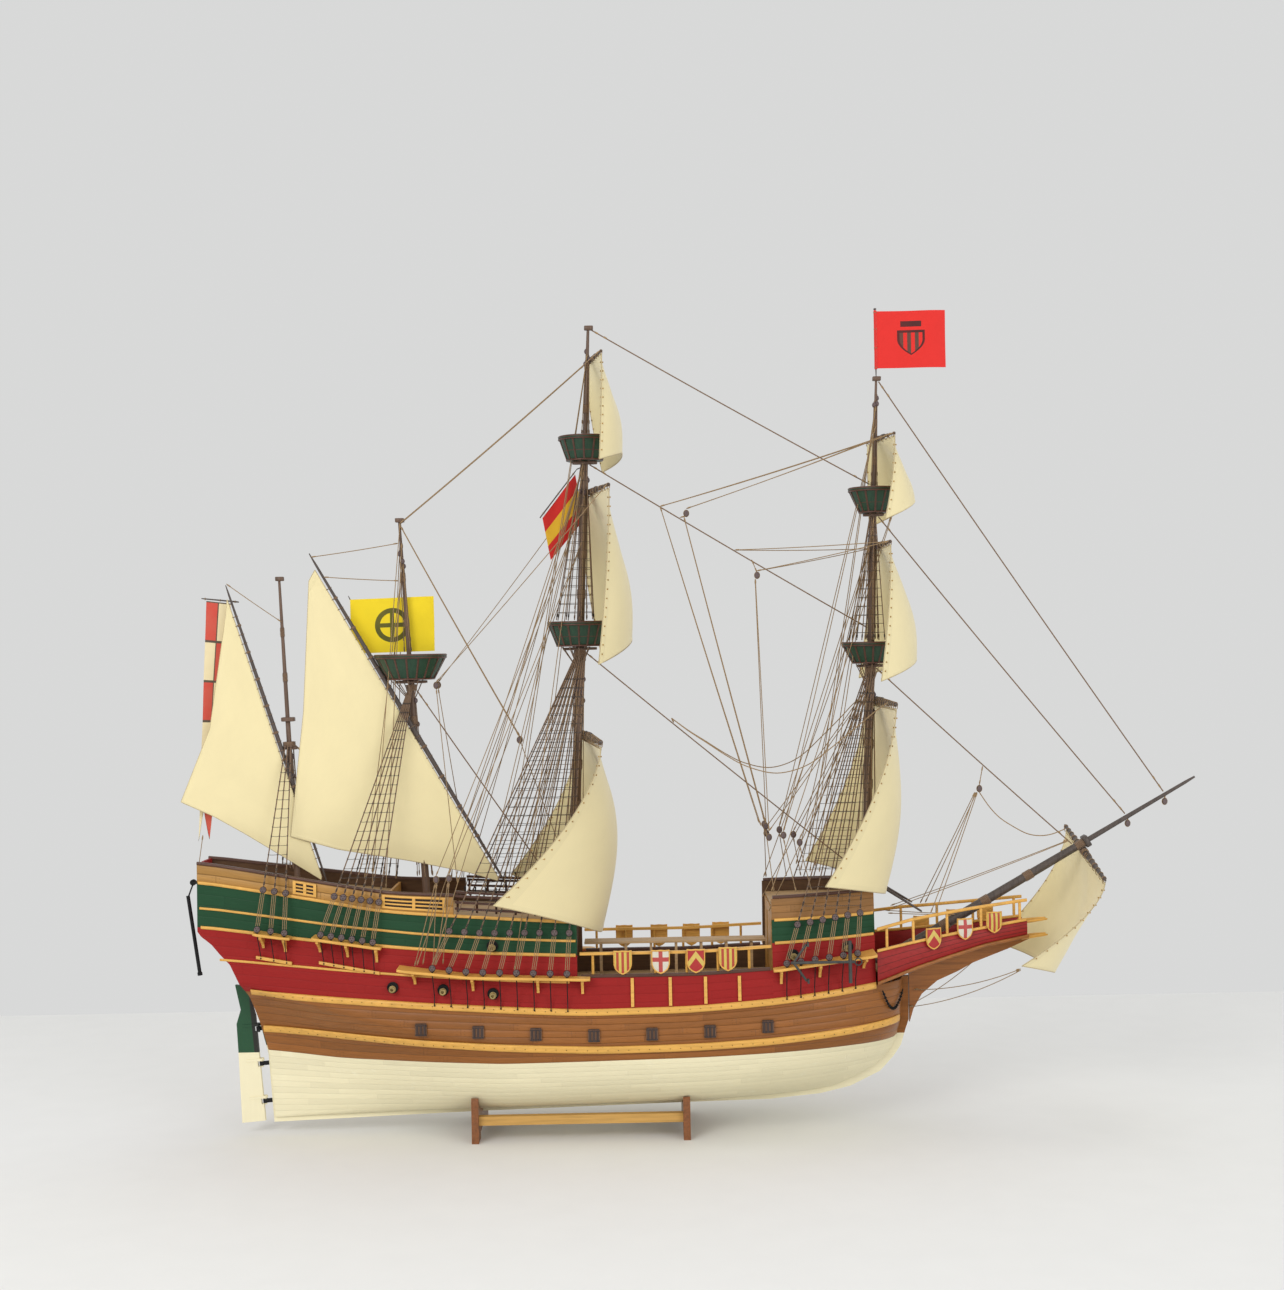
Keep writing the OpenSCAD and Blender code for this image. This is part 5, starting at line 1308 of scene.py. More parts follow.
for k in range(1, 4):
    head_bar(head, seam(k, -0.12), seam(k, 0.12), 1.4, 0.45, 232, 356, 3)
head_bar(head, off(HEAD_LOW, -1), off(HEAD_LOW, 1.6), 0, 3, 232, 357, 2)
head_bar(head, off(HEAD_HIGH, 0.1), off(HEAD_HIGH, 2.1), 0, 3, 232, 355, 1)
head_bar(head, off(HEAD_RAIL, 0), off(HEAD_RAIL, 2.4), 0, 2.6, 232, 356, 1)
for side in (1, -1):
    for x in (240, 262, 290, 318, 350):
        y, z0, z1 = lookup(x, HEAD_HALF) + 1.2, lookup(x, HEAD_HIGH) + 2.1, lookup(x, HEAD_RAIL)
        head.block(at(x, side * y, (z0 + z1) / 2), (0.001, 0, 0), (0, 0.001, 0), (0, 0, (z1 - z0) * 0.0005),
                   1)
head.lathe(at(355, -10.6, 158), at(355, 10.6, 158), [(0, 0.001), (0.0006, 0.0012), (0.0206, 0.0012),
                                                     (0.0212, 0.001)], 12, 1)
head.make("head_boards", [red_wood, ochre_mat, knee_mat, slot_mat], nodes=["head_sides"], slot="red_paint")

# ---- lower port lids: a framed plate with three upright bars and strap hinges ----
lids = Build()
for side in (1, -1):
    for k in range(7):
        x = -120.8 + 44.3 * k
        z = (soft(x, LOW_WALE) + soft(x, HIGH_WALE)) / 2 - 3.4
        lean = (half(x, z + 2) - half(x, z - 2)) / 4
        up, out = Vector((0, side * lean, 1)).normalized(), Vector((0, side, -lean)).normalized()
        mid = at(x, side * (half(x, z) + 0.9), z)
        lids.block(mid + out * 0.0005, (0.0046, 0, 0), up * 0.0046, out * 0.0005, 0)
        for q in (-2.9, 0, 2.9):
            lids.block(mid + out * 0.0013 + Vector((q * 0.001, 0, 0)), (0.0007, 0, 0), up * 0.0042,
                       out * 0.00045, 1)
        for q in (-3.7, 3.7):
            lids.block(mid + out * 0.0011 + up * q * 0.001, (0.0044, 0, 0), up * 0.0005, out * 0.0003, 1)
        pin, reach = mid + up * 0.0049 + out * 0.0006, Vector((0.0042, 0, 0))
        lids.lathe(pin - reach, pin + reach, [(0, 0.0004), (0.0084, 0.0004)], 10, 1)
lids.make("port_lid_plates", [lid_mat, bar_mat], nodes=["port_lids"], slot="black_iron")

# ---- channels: their boards and knees in ochre, their chains in iron ----
channels = Build()
for r, knees in zip(RIGS, ([-125, -80, -30, 4], [156, 186, 221], [-200, -178, -155], [-246, -228])):
    wide, line = r[2], r[3]
    aft, fore = line[0][0], line[-1][0]
    for side in (1, -1):
        rings, uvs = [], []
        steps = int((fore - aft) / 4)
        for i in range(steps + 1):
            x = aft + (fore - aft) * i / steps
            z, y = lookup(x, line), half(x, lookup(x, line)) + 1.9
            trim = 2.2 if i in (0, steps) else 0.0
            rings.append([at(x, side * q, z + h) for q, h in ((wide + 3.1 - trim, 0),
                                                              (wide + 3.4 - trim, 0.4),
                                                              (wide + 3.4 - trim, 1.6),
                                                              (wide + 3.1 - trim, 2), (y, 2), (y, 0))])
            uvs.append(girth(6, x * 0.001))
        channels.prism(rings, uvs, 0, flip=side < 0)
        for x in knees:
            z, y = lookup(x, line) - 0.1, half(x, lookup(x, line) - 11) + 2.2
            curve = [(wide, z - 2)] + [(y + (wide - y) * (1 - t) ** 1.6, z - 2 - 9 * t)
                                       for t in (0.25, 0.5, 0.75, 1)]
            outline = [(y, z), (wide, z)] + curve
            faces = [[at(x + thick, side * q, h) for q, h in outline] for thick in (-1, 1)]
            channels.prism(faces, None, 0, flip=side > 0)
        for x in r[1]:
            z = lookup(x, line)
            channels.tube([at(x, side * r[2], z - 0.1), at(x, side * (half(x, z - 18) + 2.8), z - 18)],
                          0.0004, 6, 1)
channels.make("channel_boards", [ochre_mat, iron_mat], nodes=["channels"], slot="ochre_paint", smooth=35)


# ---- masts: tapered poles with wooldings, caps and trucks ----
def mast_piece(name, node, m, spars, wooldings, caps, trees):
    """Spars are (foot, head, radius at each); wooldings are heights; caps and trees are (height, size)."""
    b = Build()
    lean = Vector((m[2], 0, 1)).normalized()
    for z0, z1, r0, r1 in spars:
        p, q = at(mast_x(m, z0), 0, z0), at(mast_x(m, z1), 0, z1)
        long = (q - p).length
        profile = [(long * k / 24, 0.001 * (r0 + (r1 - r0) * (k / 24) ** 1.3)) for k in range(25)]
        profile[-1] = (long, 0.001 * r1 * 0.7)
        profile.insert(-1, (long - 0.0004, 0.001 * r1))
        b.lathe(p, q, profile, 24, 0)
    for z in wooldings:
        r = next(r0 + (r1 - r0) * ((z - z0) / (z1 - z0)) for z0, z1, r0, r1 in spars if z0 <= z <= z1)
        for k in range(6):
            h = z + 1.05 * k
            b.ring(at(mast_x(m, h), 0, h), lean, (r + 0.18) * 0.001, 0.00052, 1, 24, 6)
        for h in (z - 0.9, z + 6.1):
            b.ring(at(mast_x(m, h), 0, h), lean, (r + 0.05) * 0.001, 0.00042, 0, 24, 6)
    for z, r in caps:
        b.block(at(mast_x(m, z) + 0.4, 0, z), (r * 0.00135, 0, 0), (0, r * 0.001, 0), lean * 0.0017, 0)
    for z, r in trees:
        for y in (-1, 1):
            b.block(at(mast_x(m, z), y * (r * 0.28), z), (r * 0.0009, 0, 0), (0, 0.0009, 0), (0, 0, 0.0011),
                    0)
        for x in (-1, 1):
            b.block(at(mast_x(m, z) + x * r * 0.32, 0, z + 1.6), (0.0009, 0, 0), (0, r * 0.0009, 0),
                    (0, 0, 0.0008), 0)
    b.make(name, [mast_mat, brown_rope], nodes=[node], slot="spar_wood")


FOOT_Z = 104.3
mast_mat = wood("brown_mast", (0.135, 0.082, 0.056), "Z", 0.5, 0.1, 0.4)
mast_piece("main_mast_pole", "main_mast", MAIN,
           [[FOOT_Z, 390, 4.2, 3.4], [390, 540, 3.1, 2.7], [540, 641, 2.0, 1.1]],
           [196, 226, 256, 288, 330, 424, 456, 492, 572, 606],
           [(392, 6), (541, 4.6), (639.3, 2.6)], [(383, 15), (531.6, 11)])
mast_piece("fore_mast_pole", "fore_mast", FORE,
           [[FOOT_Z, 372, 3.8, 3], [372, 493, 2.9, 2.5], [493, 596, 1.8, 0.9]],
           [206, 236, 268, 300, 404, 434, 462, 526, 556],
           [(374, 5.4), (494, 4.4), (594.4, 2.4)], [(365, 12), (485.6, 9)])
mast_piece("mizzen_mast_pole", "mizzen_mast", MIZZEN, [[FOOT_Z, 366, 3.2, 2.4], [366, 490, 1.9, 1.0]],
           [224, 256, 290, 326, 404, 440], [(367, 4.6), (488.4, 2.6)], [(359, 14)])
mast_piece("bonaventure_mast_pole", "bonaventure_mast", BONA, [[FOOT_Z, 330, 2.6, 1.9], [330, 445, 1.7, 1.0]],
           [226, 254, 284, 362, 398], [(331, 3.8), (443.4, 2.4)], [(308, 7)])

# ---- halyards, lifts and small blocks gathered round the masts ----
# Each stretch: mast, lower and upper height, mast radius at each, number of ropes, spread at the foot.
STRETCHES = [(MAIN, 196, 372, 4.0, 3.5, 9, 5), (MAIN, 406, 528, 3.1, 2.8, 6, 2.4),
             (MAIN, 554, 628, 1.9, 1.3, 4, 1.4), (FORE, 208, 355, 3.7, 3.1, 8, 5),
             (FORE, 386, 482, 2.9, 2.6, 6, 2.2), (FORE, 508, 584, 1.8, 1.1, 4, 1.3),
             (MIZZEN, 204, 350, 3.1, 2.6, 6, 4), (MIZZEN, 383, 470, 1.8, 1.2, 3, 1.4),
             (BONA, 212, 306, 2.6, 2.1, 5, 3)]
mast_ropes = Build()
for m, low, high, r0, r1, count, spread in STRETCHES:
    for k in range(count):
        turn = 2 * math.pi * (k + 0.5) / count + rng.uniform(-0.2, 0.2)
        foot, head = r0 + 0.7 + spread * rng.uniform(0.3, 1), r1 + 0.5
        end = high - rng.uniform(1, 0.2 * (high - low))
        points = []
        for i in range(7):
            t = i / 6
            z, r = low + (end - low) * t, foot + (head - foot) * t ** 0.7
            points.append(at(mast_x(m, z) + r * math.cos(turn), r * math.sin(turn), z))
        mast_ropes.tube(points, 0.00033, 6, k % 2)
        way = (points[0] - points[-1]).normalized()
        mid = points[-1] + way * 0.001
        mast_ropes.lathe(mid, mid + way * 0.0042, [(0, 0.0005), (0.0007, 0.0012), (0.0021, 0.0016),
                                                   (0.0035, 0.0012), (0.0042, 0.0005)], 10, 2)
        for far in (0.0012, 0.009):
            seizing(mast_ropes, points[0] - way * far, -way, 0.0004, 1)
mast_ropes.make("mast_ropes", [tan_rope, brown_rope, block_mat], slot="brown_cord")

bowsprit = Build()
p, q = at(235, 0, sprit_z(235)), at(409.05, 0, sprit_z(409.05))
axis = (q - p).normalized()
bowsprit.lathe(p, p + axis * 0.2, [(0.2 * k / 20, 0.001 * (4.2 - 1.2 * (k / 20) ** 1.2)) for k in range(20)]
               + [(0.2, 0.0021)], 24, 0)
bowsprit.lathe(p + axis * 0.196, p + axis * 0.298, [(0, 0.0021)] + [(0.102 * k / 12, 0.001 * (2.2 - k / 12))
                                                                    for k in range(1, 12)]
               + [(0.102, 0.0008)], 20, 0)
for far in (0.03, 0.062, 0.1, 0.14, 0.188):
    r = 4.2 - 1.2 * far / 0.2
    for k in range(7):
        bowsprit.ring(p + axis * (far + 0.00105 * k), axis, (r + 0.16) * 0.001, 0.00052, 1, 24, 6)
bowsprit.block(p + axis * 0.197, axis * 0.0022, (0, 0.0046, 0), axis.cross(Vector((0, 1, 0))) * 0.0046, 0)
bowsprit.make("bowsprit_pole", [spar_mat, brown_rope], nodes=["bowsprit"], slot="spar_wood")

# ---- tops: round baskets of dark staves over green panels ----
top_mat = wood("top_green", (0.018, 0.055, 0.03), "Z", 0.45, 0.1, 0.3, paint=True)
tops = Build()
for m, z0, r0, z1, r1, hole in TOPS:
    tall, x = z1 - z0, mast_x(m, z0)
    base = at(x, 0, z0)
    up = Vector((0, 0, 1))
    outline = [(hole, 0), (r0 - 0.3, 0), (r0, 0.3), (r0 + (r1 - r0) * 0.5, (tall - 2) * 0.46),
               (r1 - 0.1, tall - 2.2), (r1 + 0.9, tall - 1.9), (r1 + 1, tall - 0.3), (r1 + 0.7, tall),
               (r1 - 0.8, tall), (r1 - 1, tall - 0.3), (r1 - 1.2, tall - 2.4),
               (r0 + (r1 - r0) * 0.5 - 1.3, (tall - 2) * 0.48), (r0 - 1.4, 1.6), (hole, 1.6), (hole, 0)]
    rows = [circle(base + up * h * 0.001, Vector((1, 0, 0)), Vector((0, 1, 0)), r * 0.001, 96)
            for r, h in outline]
    tops.grid(rows, [girth(96, i / 14) for i in range(len(outline))], 0, wrap=True)
    count = 18 if r1 > 21 else 14
    for k in range(count):
        t = 2 * math.pi * (k + 0.5) / count
        radial, around = Vector((math.cos(t), math.sin(t), 0)), Vector((-math.sin(t), math.cos(t), 0))
        rib = []
        for s in range(5):
            h = 0.2 + (tall - 2.2) * s / 4
            r = r0 + (r1 - r0) * s / 4
            rib.append([base + (radial * (r + out) + around * w + up * h) * 0.001
                        for w, out in ((-0.75, -0.2), (-0.75, 0.55), (-0.45, 0.8), (0.45, 0.8),
                                       (0.75, 0.55), (0.75, -0.2))])
        tops.prism(rib, None, 1)
    for r, h, thick in ((r0 + 0.35, 0.5, 0.75), (r0 + (r1 - r0) * 0.42, tall * 0.4, 0.5),
                        (r1 + 0.45, tall - 2.6, 0.7), (r1 + 0.2, tall - 0.7, 0.95)):
        tops.ring(base + up * h * 0.001, up, r * 0.001, thick * 0.001, 1, 72, 8)
    for k in range(8):
        t = 2 * math.pi * k / 8 + 0.2
        radial, around = Vector((math.cos(t), math.sin(t), 0)), Vector((-math.sin(t), math.cos(t), 0))
        tops.block(base + (radial * (hole + r0) / 2 + up * 2.1) * 0.001, radial * (r0 - hole - 2) * 0.0005,
                   around * 0.0007, up * 0.0005, 2)
tops.make("top_baskets", [top_mat, dark_mat, deck_mat], nodes=["tops"], slot="green_paint", smooth=45)

# ---- guns and port rims ----
guns = Build()
for part in parts_of("guns"):
    mid = Vector(part.mean(axis=0))
    way = Vector((0, 1 if mid.y > 0 else -1, 0))
    inner = Vector((mid.x, float(part[:, 1].min() if mid.y > 0 else part[:, 1].max()), mid.z))
    inner.z = float((part[:, 2].min() + part[:, 2].max()) / 2)
    inner.x = float((part[:, 0].min() + part[:, 0].max()) / 2)
    guns.lathe(inner, inner + way, [(0, 0.0038), (0, 0.0044), (0.0009, 0.0044), (0.0013, 0.0041),
                                    (0.0014, 0.0038), (0.0005, 0.0037)], 32, 1)
    inner.z -= 0.0009
    guns.lathe(inner, inner + way, [(0.0001, 0.0026), (0.0026, 0.00245), (0.0027, 0.0027), (0.0031, 0.0027),
                                    (0.0032, 0.0023), (0.0046, 0.0021), (0.0048, 0.0024), (0.0052, 0.0025),
                                    (0.0055, 0.0022), (0.0055, 0.0012), (0.003, 0.0011)], 24, 0)
guns.make("gun_muzzles", [gun_mat, iron_mat], nodes=["guns"], slot="gun_metal", smooth=35)


# ---- shields with painted fields ----
def field_mat(name, design, a, b):
    """A painted field. Design 0 is upright stripes, 1 a plain cross, 2 a chevron."""
    n = Nodes(name, 0.45, 0.1)
    u, v, _ = n.split(n.source("UV"))
    if design == 0:
        shape = n.above(n.fract(n.times(u, 3.5)), 0.5)
    elif design == 1:
        tall = n.below(n.gap(u, 0.5), 0.11)
        wide = n.below(n.gap(v, 0.6), 0.09)
        shape = n.most(tall, wide)
    else:
        line = n.plus(v, n.gap(u, 0.5))
        shape = n.below(n.gap(line, 0.78), 0.14)
    patch = n.noise(n.coords(), 260, 5, 0.6)
    colour = n.mix(shape, a, b)
    colour = n.mix(n.times(patch, 0.3), colour, tone(a, 0.4))
    return n.finish(colour, n.plus(n.times(patch, 0.2), 0.35), patch, 0.0001, 0.4)


shield_mats = [field_mat("shield_striped", 0, (0.62, 0.48, 0.10), (0.42, 0.03, 0.03)),
               field_mat("shield_crossed", 1, (0.66, 0.62, 0.52), (0.45, 0.03, 0.03)),
               field_mat("shield_chevron", 2, (0.42, 0.03, 0.03), (0.66, 0.50, 0.12))]
shields = Build()
OUTLINE = [(-7, 9), (-3.5, 8.7), (0, 9), (3.5, 8.7), (7, 9), (7.1, 4), (7, -2), (6.2, -4.6), (5, -6.5),
           (2.7, -8.3), (0, -9.5), (-2.7, -8.3), (-5, -6.5), (-6.2, -4.6), (-7, -2), (-7.1, 4)]
# Each shield's place along the ship, and its field: 0 striped, 1 crossed, 2 with a chevron.
SHIELD_DESIGNS = [(35, 0), (64, 1), (91, 2), (115.5, 0), (278, 2), (304, 1), (328, 0)]
for part in parts_of("shields"):
    lo, hi = part.min(axis=0), part.max(axis=0)
    mid = part.mean(axis=0)
    _, _, rows = np.linalg.svd(part - mid)
    out = Vector(rows[2])
    if out.y * mid[1] < 0:
        out.negate()
    up = Vector((0, 0, 1))
    side = up.cross(out)
    tall = (hi[2] - lo[2]) / 18.5
    centre = Vector((float((lo[0] + hi[0]) / 2), float((lo[1] + hi[1]) / 2), float(lo[2] + 9.5 * tall)))
    design = min(SHIELD_DESIGNS, key=lambda row: abs(mid[0] - at(row[0], 0, 0).x))[1]

    def ring_at(scale, lift):
        return [centre + side * x * scale * tall + up * z * scale * tall + out * lift for x, z in OUTLINE]

    steps = [(1, -0.0006), (1, 0.0006), (0.94, 0.0009), (0.88, 0.0006), (0.86, 0.0003), (0.45, 0.0009)]
    rows = [ring_at(scale, lift) for scale, lift in steps]
    flat = [((x + 7) / 14, (z + 9.5) / 18.5) for x, z in OUTLINE + OUTLINE[:1]]
    uvs = [[(0.5 + (u - 0.5) * s, 0.51 + (v - 0.51) * s) for u, v in flat] for s, lift in steps]
    first = shields.grid(rows[:4], uvs[:4], 3, wrap=True)
    shields.fan(range(first, first + 16), 3, flip=True)
    first = shields.grid(rows[3:], uvs[3:], design, wrap=True)
    ring = range(first + 32, first + 48)
    shields.f.append(list(ring))
    shields.uv.extend(uvs[5][:16])
    shields.m.append(design)
shields.make("painted_shields", shield_mats + [ochre_mat], nodes=["shields"], slot="shield_paint", smooth=30)


# ---- flags ----
def flag_mat(name, design, a, b, c):
    """Dyed bunting with a plain device. UV runs from 0 to 1 over the flag."""
    n = Nodes(name, 0.8, sheen=0.35, specular=0.2)
    uv = n.source("UV")
    u, v, _ = n.split(uv)
    far_u, far_v = n.minus(u, 0.5), n.minus(v, 0.5)
    if design == "ring":
        away = n.math("SQRT", n.plus(n.math("POWER", n.times(far_u, 1.5), 2.0), n.math("POWER", far_v, 2.0)))
        ring = n.below(n.gap(away, 0.27), 0.045)
        bars = n.times(n.below(n.size(far_v), 0.04), n.below(away, 0.3))
        star = n.below(n.size(far_u), 0.026)
        bars = n.most(bars, n.times(star, n.below(away, 0.3)))
        colour = n.mix(n.most(ring, bars), a, b)
    elif design == "bands":
        middle = n.below(n.size(far_v), 0.17)
        colour = n.mix(middle, a, b)
    elif design == "shield":
        low = n.times(n.most(n.times(far_v, -1.0), 0.0), 0.62)
        width = n.minus(0.2, n.math("POWER", n.times(low, 2.6), 2.0))
        body = n.times(n.below(n.size(far_u), width),
                      n.below(n.size(n.plus(far_v, 0.1)), 0.26))
        rim = n.times(n.below(n.size(far_u), n.minus(width, 0.035)),
                     n.below(n.size(n.plus(far_v, 0.1)), 0.215))
        stripe = n.above(n.fract(n.times(u, 9.0)), 0.5)
        colour = n.mix(body, a, b)
        colour = n.mix(rim, colour, c)
        colour = n.mix(n.times(rim, stripe), colour, a)
        bar = n.times(n.below(n.gap(far_v, 0.27), 0.05),
                     n.below(n.size(far_u), 0.15))
        colour = n.mix(bar, colour, b)
    else:
        across = n.above(n.fract(n.times(u, 1.0)), 0.5)
        along = n.above(n.fract(n.times(v, 3.0)), 0.5)
        check = n.gap(across, along)
        colour = n.mix(check, a, b)
        near_u = n.below(n.size(far_u), 0.025)
        part = n.fract(n.times(v, 6.0))
        near_v = n.below(n.gap(part, 0.5), 0.47)
        near = n.most(near_u, n.minus(1.0, near_v))
        colour = n.mix(near, colour, c)
    cloud = n.noise(n.coords(), 60, 6, 0.6)
    thread = n.noise(n.coords((1, 1, 9)), 420, 4, 0.6)
    colour = n.mix(n.times(cloud, 0.35), colour, tone(a, 0.55))
    weave = n.plus(n.times(thread, 0.5), n.times(cloud, 0.5))
    return n.finish(colour, None, weave, 0.0003, 0.45)


def flag_piece(name, corners, wave, waves, mat, nodes, body="ship", tails=False,
               slot="yellow_flag", curl=0.5):
    """A flag from its four corners: staff top, fly top, fly foot, staff foot, in millimetres."""
    c = [Vector(p) for p in corners]
    across, down = 44, 32

    def spot(u, v, lift):
        p = (c[0] * (1 - u) + c[1] * u) * (1 - v) + (c[3] * (1 - u) + c[2] * u) * v
        y = wave * math.sin(2 * math.pi * waves * u + 0.6 * v) * u + curl * math.sin(5 * u + 6 * v) * u
        if tails:
            y = wave * math.sin(2 * math.pi * waves * v + 0.5 * u) * v
            notch = max(0.0, v - 0.86) / 0.14
            p.z += notch * 26 * (1 - abs(2 * u - 1)) ** 1.2
        return p.x, p.y + y + lift, p.z

    front, back = faces_of(spot, across, down, 0.3), faces_of(spot, across, down, -0.3)
    uvs = [[(i / across, 1 - j / down) for i in range(across + 1)] for j in range(down + 1)]
    b = Build()
    b.shell([r[::-1] for r in front], [r[::-1] for r in back], [r[::-1] for r in uvs])
    obj = b.make(name, [mat], body=body, nodes=nodes, slot=slot, smooth=40)
    width, height = length_of(front[down // 2]), length_of([row[across // 2] for row in front])


yellow_flag = flag_mat("yellow_bunting", "ring", (0.88, 0.66, 0.02), (0.03, 0.045, 0.02), (0.03, 0.025, 0.02))
banded_flag = flag_mat("banded_bunting", "bands", (0.62, 0.025, 0.02), (0.80, 0.50, 0.03), (0.02, 0.02, 0.02))
crimson_flag = flag_mat("crimson_bunting", "shield", (0.74, 0.028, 0.022), (0.02, 0.018, 0.018),
                        (0.05, 0.06, 0.045))
pennant_mat = flag_mat("pennant_bunting", "quarters", (0.80, 0.68, 0.42), (0.58, 0.022, 0.02),
                       (0.04, 0.02, 0.02))
flag_piece("mizzen_flag", [(-179.6, 8, 426), (-112.4, 8, 427.5), (-112.5, 8, 383.5), (-179.6, 8, 382.5)],
           3.0, 1, yellow_flag, ["flags"])
flag_piece("main_flag", [(-24, 14, 489), (3, 17.5, 524), (9, 19, 487), (-18, 15, 455)], 2.0, 1, banded_flag,
           [], slot="red_flag")
flag_piece("stern_pennant", [(-294, 3, 427), (-274.5, 3, 424.5), (-295, 3, 236), (-304, 3, 234.5)], 1.2,
           2.5, pennant_mat, [], tails=True, curl=0.0)
FLAG_X = mast_x(FORE, 596)
flag_piece("fore_bunting", [(FLAG_X + 0.9, 0, 648.2), (FLAG_X + 55.9, 0, 648.2), (FLAG_X + 55.9, 0, 602.6),
                            (FLAG_X + 0.9, 0, 602.6)], 1.6, 1, crimson_flag, ["fore_flag"],
           body="fore_flag", slot="red_flag", curl=0.35)
sleeve = Build()
SLEEVE = [(0.61, 0), (1.15, 0), (1.2, 0.5), (1.12, 12), (1.2, 24), (1.12, 36), (1.2, 46.5), (1.15, 47),
          (0.61, 47), (0.61, 0)]
rows = [circle(at(FLAG_X, 0, 602 + z), Vector((1, 0, 0)), Vector((0, 1, 0)), r * 0.001, 24)
        for r, z in SLEEVE]
sleeve.grid(rows, [girth(24, 0.3)] * len(rows), 0, wrap=True)
for z in (603.5, 619, 634, 647.2):
    sleeve.ring(at(FLAG_X, 0, z), (0, 0, 1), 0.00122, 0.00022, 1, 20, 6)
cuff_mat = cloth_mat("flag_cuff", (0.70, 0.028, 0.022))
sleeve.make("fore_sleeve", [cuff_mat, tan_rope], body="fore_flag", slot="red_flag")

staffs = Build()
for part in parts_of("flag_staffs"):
    a, c, r = ends_of(part)
    if a.z > c.z:
        a, c = c, a
    long = (c - a).length
    staffs.lathe(a, c, [(0, r * 0.7)] + [(long * k / 12, r * (1 - 0.25 * k / 12)) for k in range(1, 12)]
                 + [(long, r * 0.5)], 14, 0)
    if long > 0.03:
        axis = (c - a).normalized()
        if abs(a.x - at(FLAG_X, 0, 0).x) > 0.005:
            for far in (0.1, 0.5, 0.9):
                staffs.ring(a + axis * long * far, axis, r + 0.0001, 0.0003, 1, 16, 6)
staffs.lathe(at(FLAG_X, 0, 649.4), at(FLAG_X, 0, 652), [(0, 0.0005), (0.0002, 0.0011), (0.0007, 0.0013),
                                                        (0.0012, 0.0009), (0.0015, 0.0002)], 16, 0)
staffs.make("staff_poles", [spar_mat, tan_rope], nodes=["flag_staffs"], slot="spar_wood")

# ---- slack lines, along the CAD routes ----
BRACE = [(77, 1.2, 326), (90, 6, 316), (105, 12, 306), (120, 18, 296), (135, 24, 288), (154, 32, 283),
         (170, 39, 285), (185, 47, 292), (202, 57, 306), (218, 67, 320), (230, 77, 331), (239, 85, 338)]
SPRIT_LINE = [(322, 0, 262), (329, -2, 251), (337, -3, 242), (347, -4, 235), (358, -5, 229), (368, -5, 227),
              (378, -5, 228), (389, -5, 232)]


def curve_at(pts, t):
    n = len(pts) - 1
    i = min(n - 1, int(t * n))
    f = t * n - i
    a, b, c, d = (Vector(pts[k]) for k in (max(0, i - 1), i, i + 1, min(n, i + 2)))
    return 0.5 * (2 * b + (c - a) * f + (2 * a - 5 * b + 4 * c - d) * f * f
                  + (3 * b - a - 3 * c + d) * f * f * f)


for name, node, route, side, steps in (("fore_brace_line_port", "fore_brace_port", BRACE, 1, 88),
                                       ("fore_brace_line_starboard", "fore_brace_starboard", BRACE, -1, 88),
                                       ("spritsail_rope", "spritsail_line", SPRIT_LINE, 1, 64)):
    route = [(x, y * side, z) for x, y, z in route]
    path = [at(*curve_at(route, k / steps)) for k in range(steps + 1)]
    b = Build()
    b.tube(path, 0.0004, 10, 0)
    line = b.make(name, [tan_rope], nodes=[node], slot="tan_cord")
    length = length_of(path)

# ---- CAD pieces that keep their shape: softened edges and a real material ----
def finish_node(node, mat, bevel):
    """Gives a CAD piece its material and a bevel in millimetres."""
    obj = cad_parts[node]
    while len(obj.material_slots) < 1:
        obj.data.materials.append(None)
    for s in obj.material_slots:
        s.link = "OBJECT"
        s.material = mat
    if bevel:
        m = obj.modifiers.new("soft_edges", "BEVEL")
        m.width = bevel * 0.001
        m.segments = 2
        m.limit_method = "ANGLE"
        m.angle_limit = math.radians(35)


# Where the near-black strip of painted shade along the rudder's fore edge begins, as a place along the line
# square to its hinge.
SHADE_EDGE = (-252.2 - 5 + SHIP_X) * 0.001 + 0.011 * 0.0777


def rudder_mat():
    n = Nodes("rudder_paint_and_shade", 0.5, 0.05)
    place = n.coords((60, 60, 5))
    x, _, z = n.split(n.source("Object"))
    grain = n.noise(place, 8, 7, 0.6)
    patch = n.noise(n.coords(), 70, 6, 0.65)
    above = n.above(z, 0.0655)
    colour = n.mix(above, BOTTOM, (0.016, 0.075, 0.032))
    # painted shade: above the waterline the fore strip next to the sternpost is painted near-black, for the
    # shaded gap there
    edge = n.above(n.plus(x, n.times(z, 0.0777)), SHADE_EDGE)
    colour = n.mix(n.times(edge, above), colour, (0.02, 0.018, 0.017))
    colour = n.mix(n.times(grain, 0.3), colour, n.mix(above, tone(BOTTOM, 0.75), tone(GREEN, 0.5)))
    return n.finish(colour, n.plus(n.times(patch, 0.25), 0.4), grain, 0.0002, 0.5)


def post_mat():
    n = Nodes("stem_paint", 0.5, specular=0.2)
    x, _, z = n.split(n.source("Object"))
    grain = n.noise(n.coords((3, 60, 60)), 9, 8, 0.6)
    upper = n.mix(n.above(x, 0.0), GREEN, n.ramp(grain, [(0.3, tone(MAHOGANY, 0.6)), (0.7, MAHOGANY)]))
    colour = n.mix(n.above(z, 0.0715), n.ramp(grain, [(0.3, tone(BOTTOM, 0.93)), (0.7, BOTTOM)]), upper)
    return n.finish(colour, None, grain, 0.00015, 0.5)


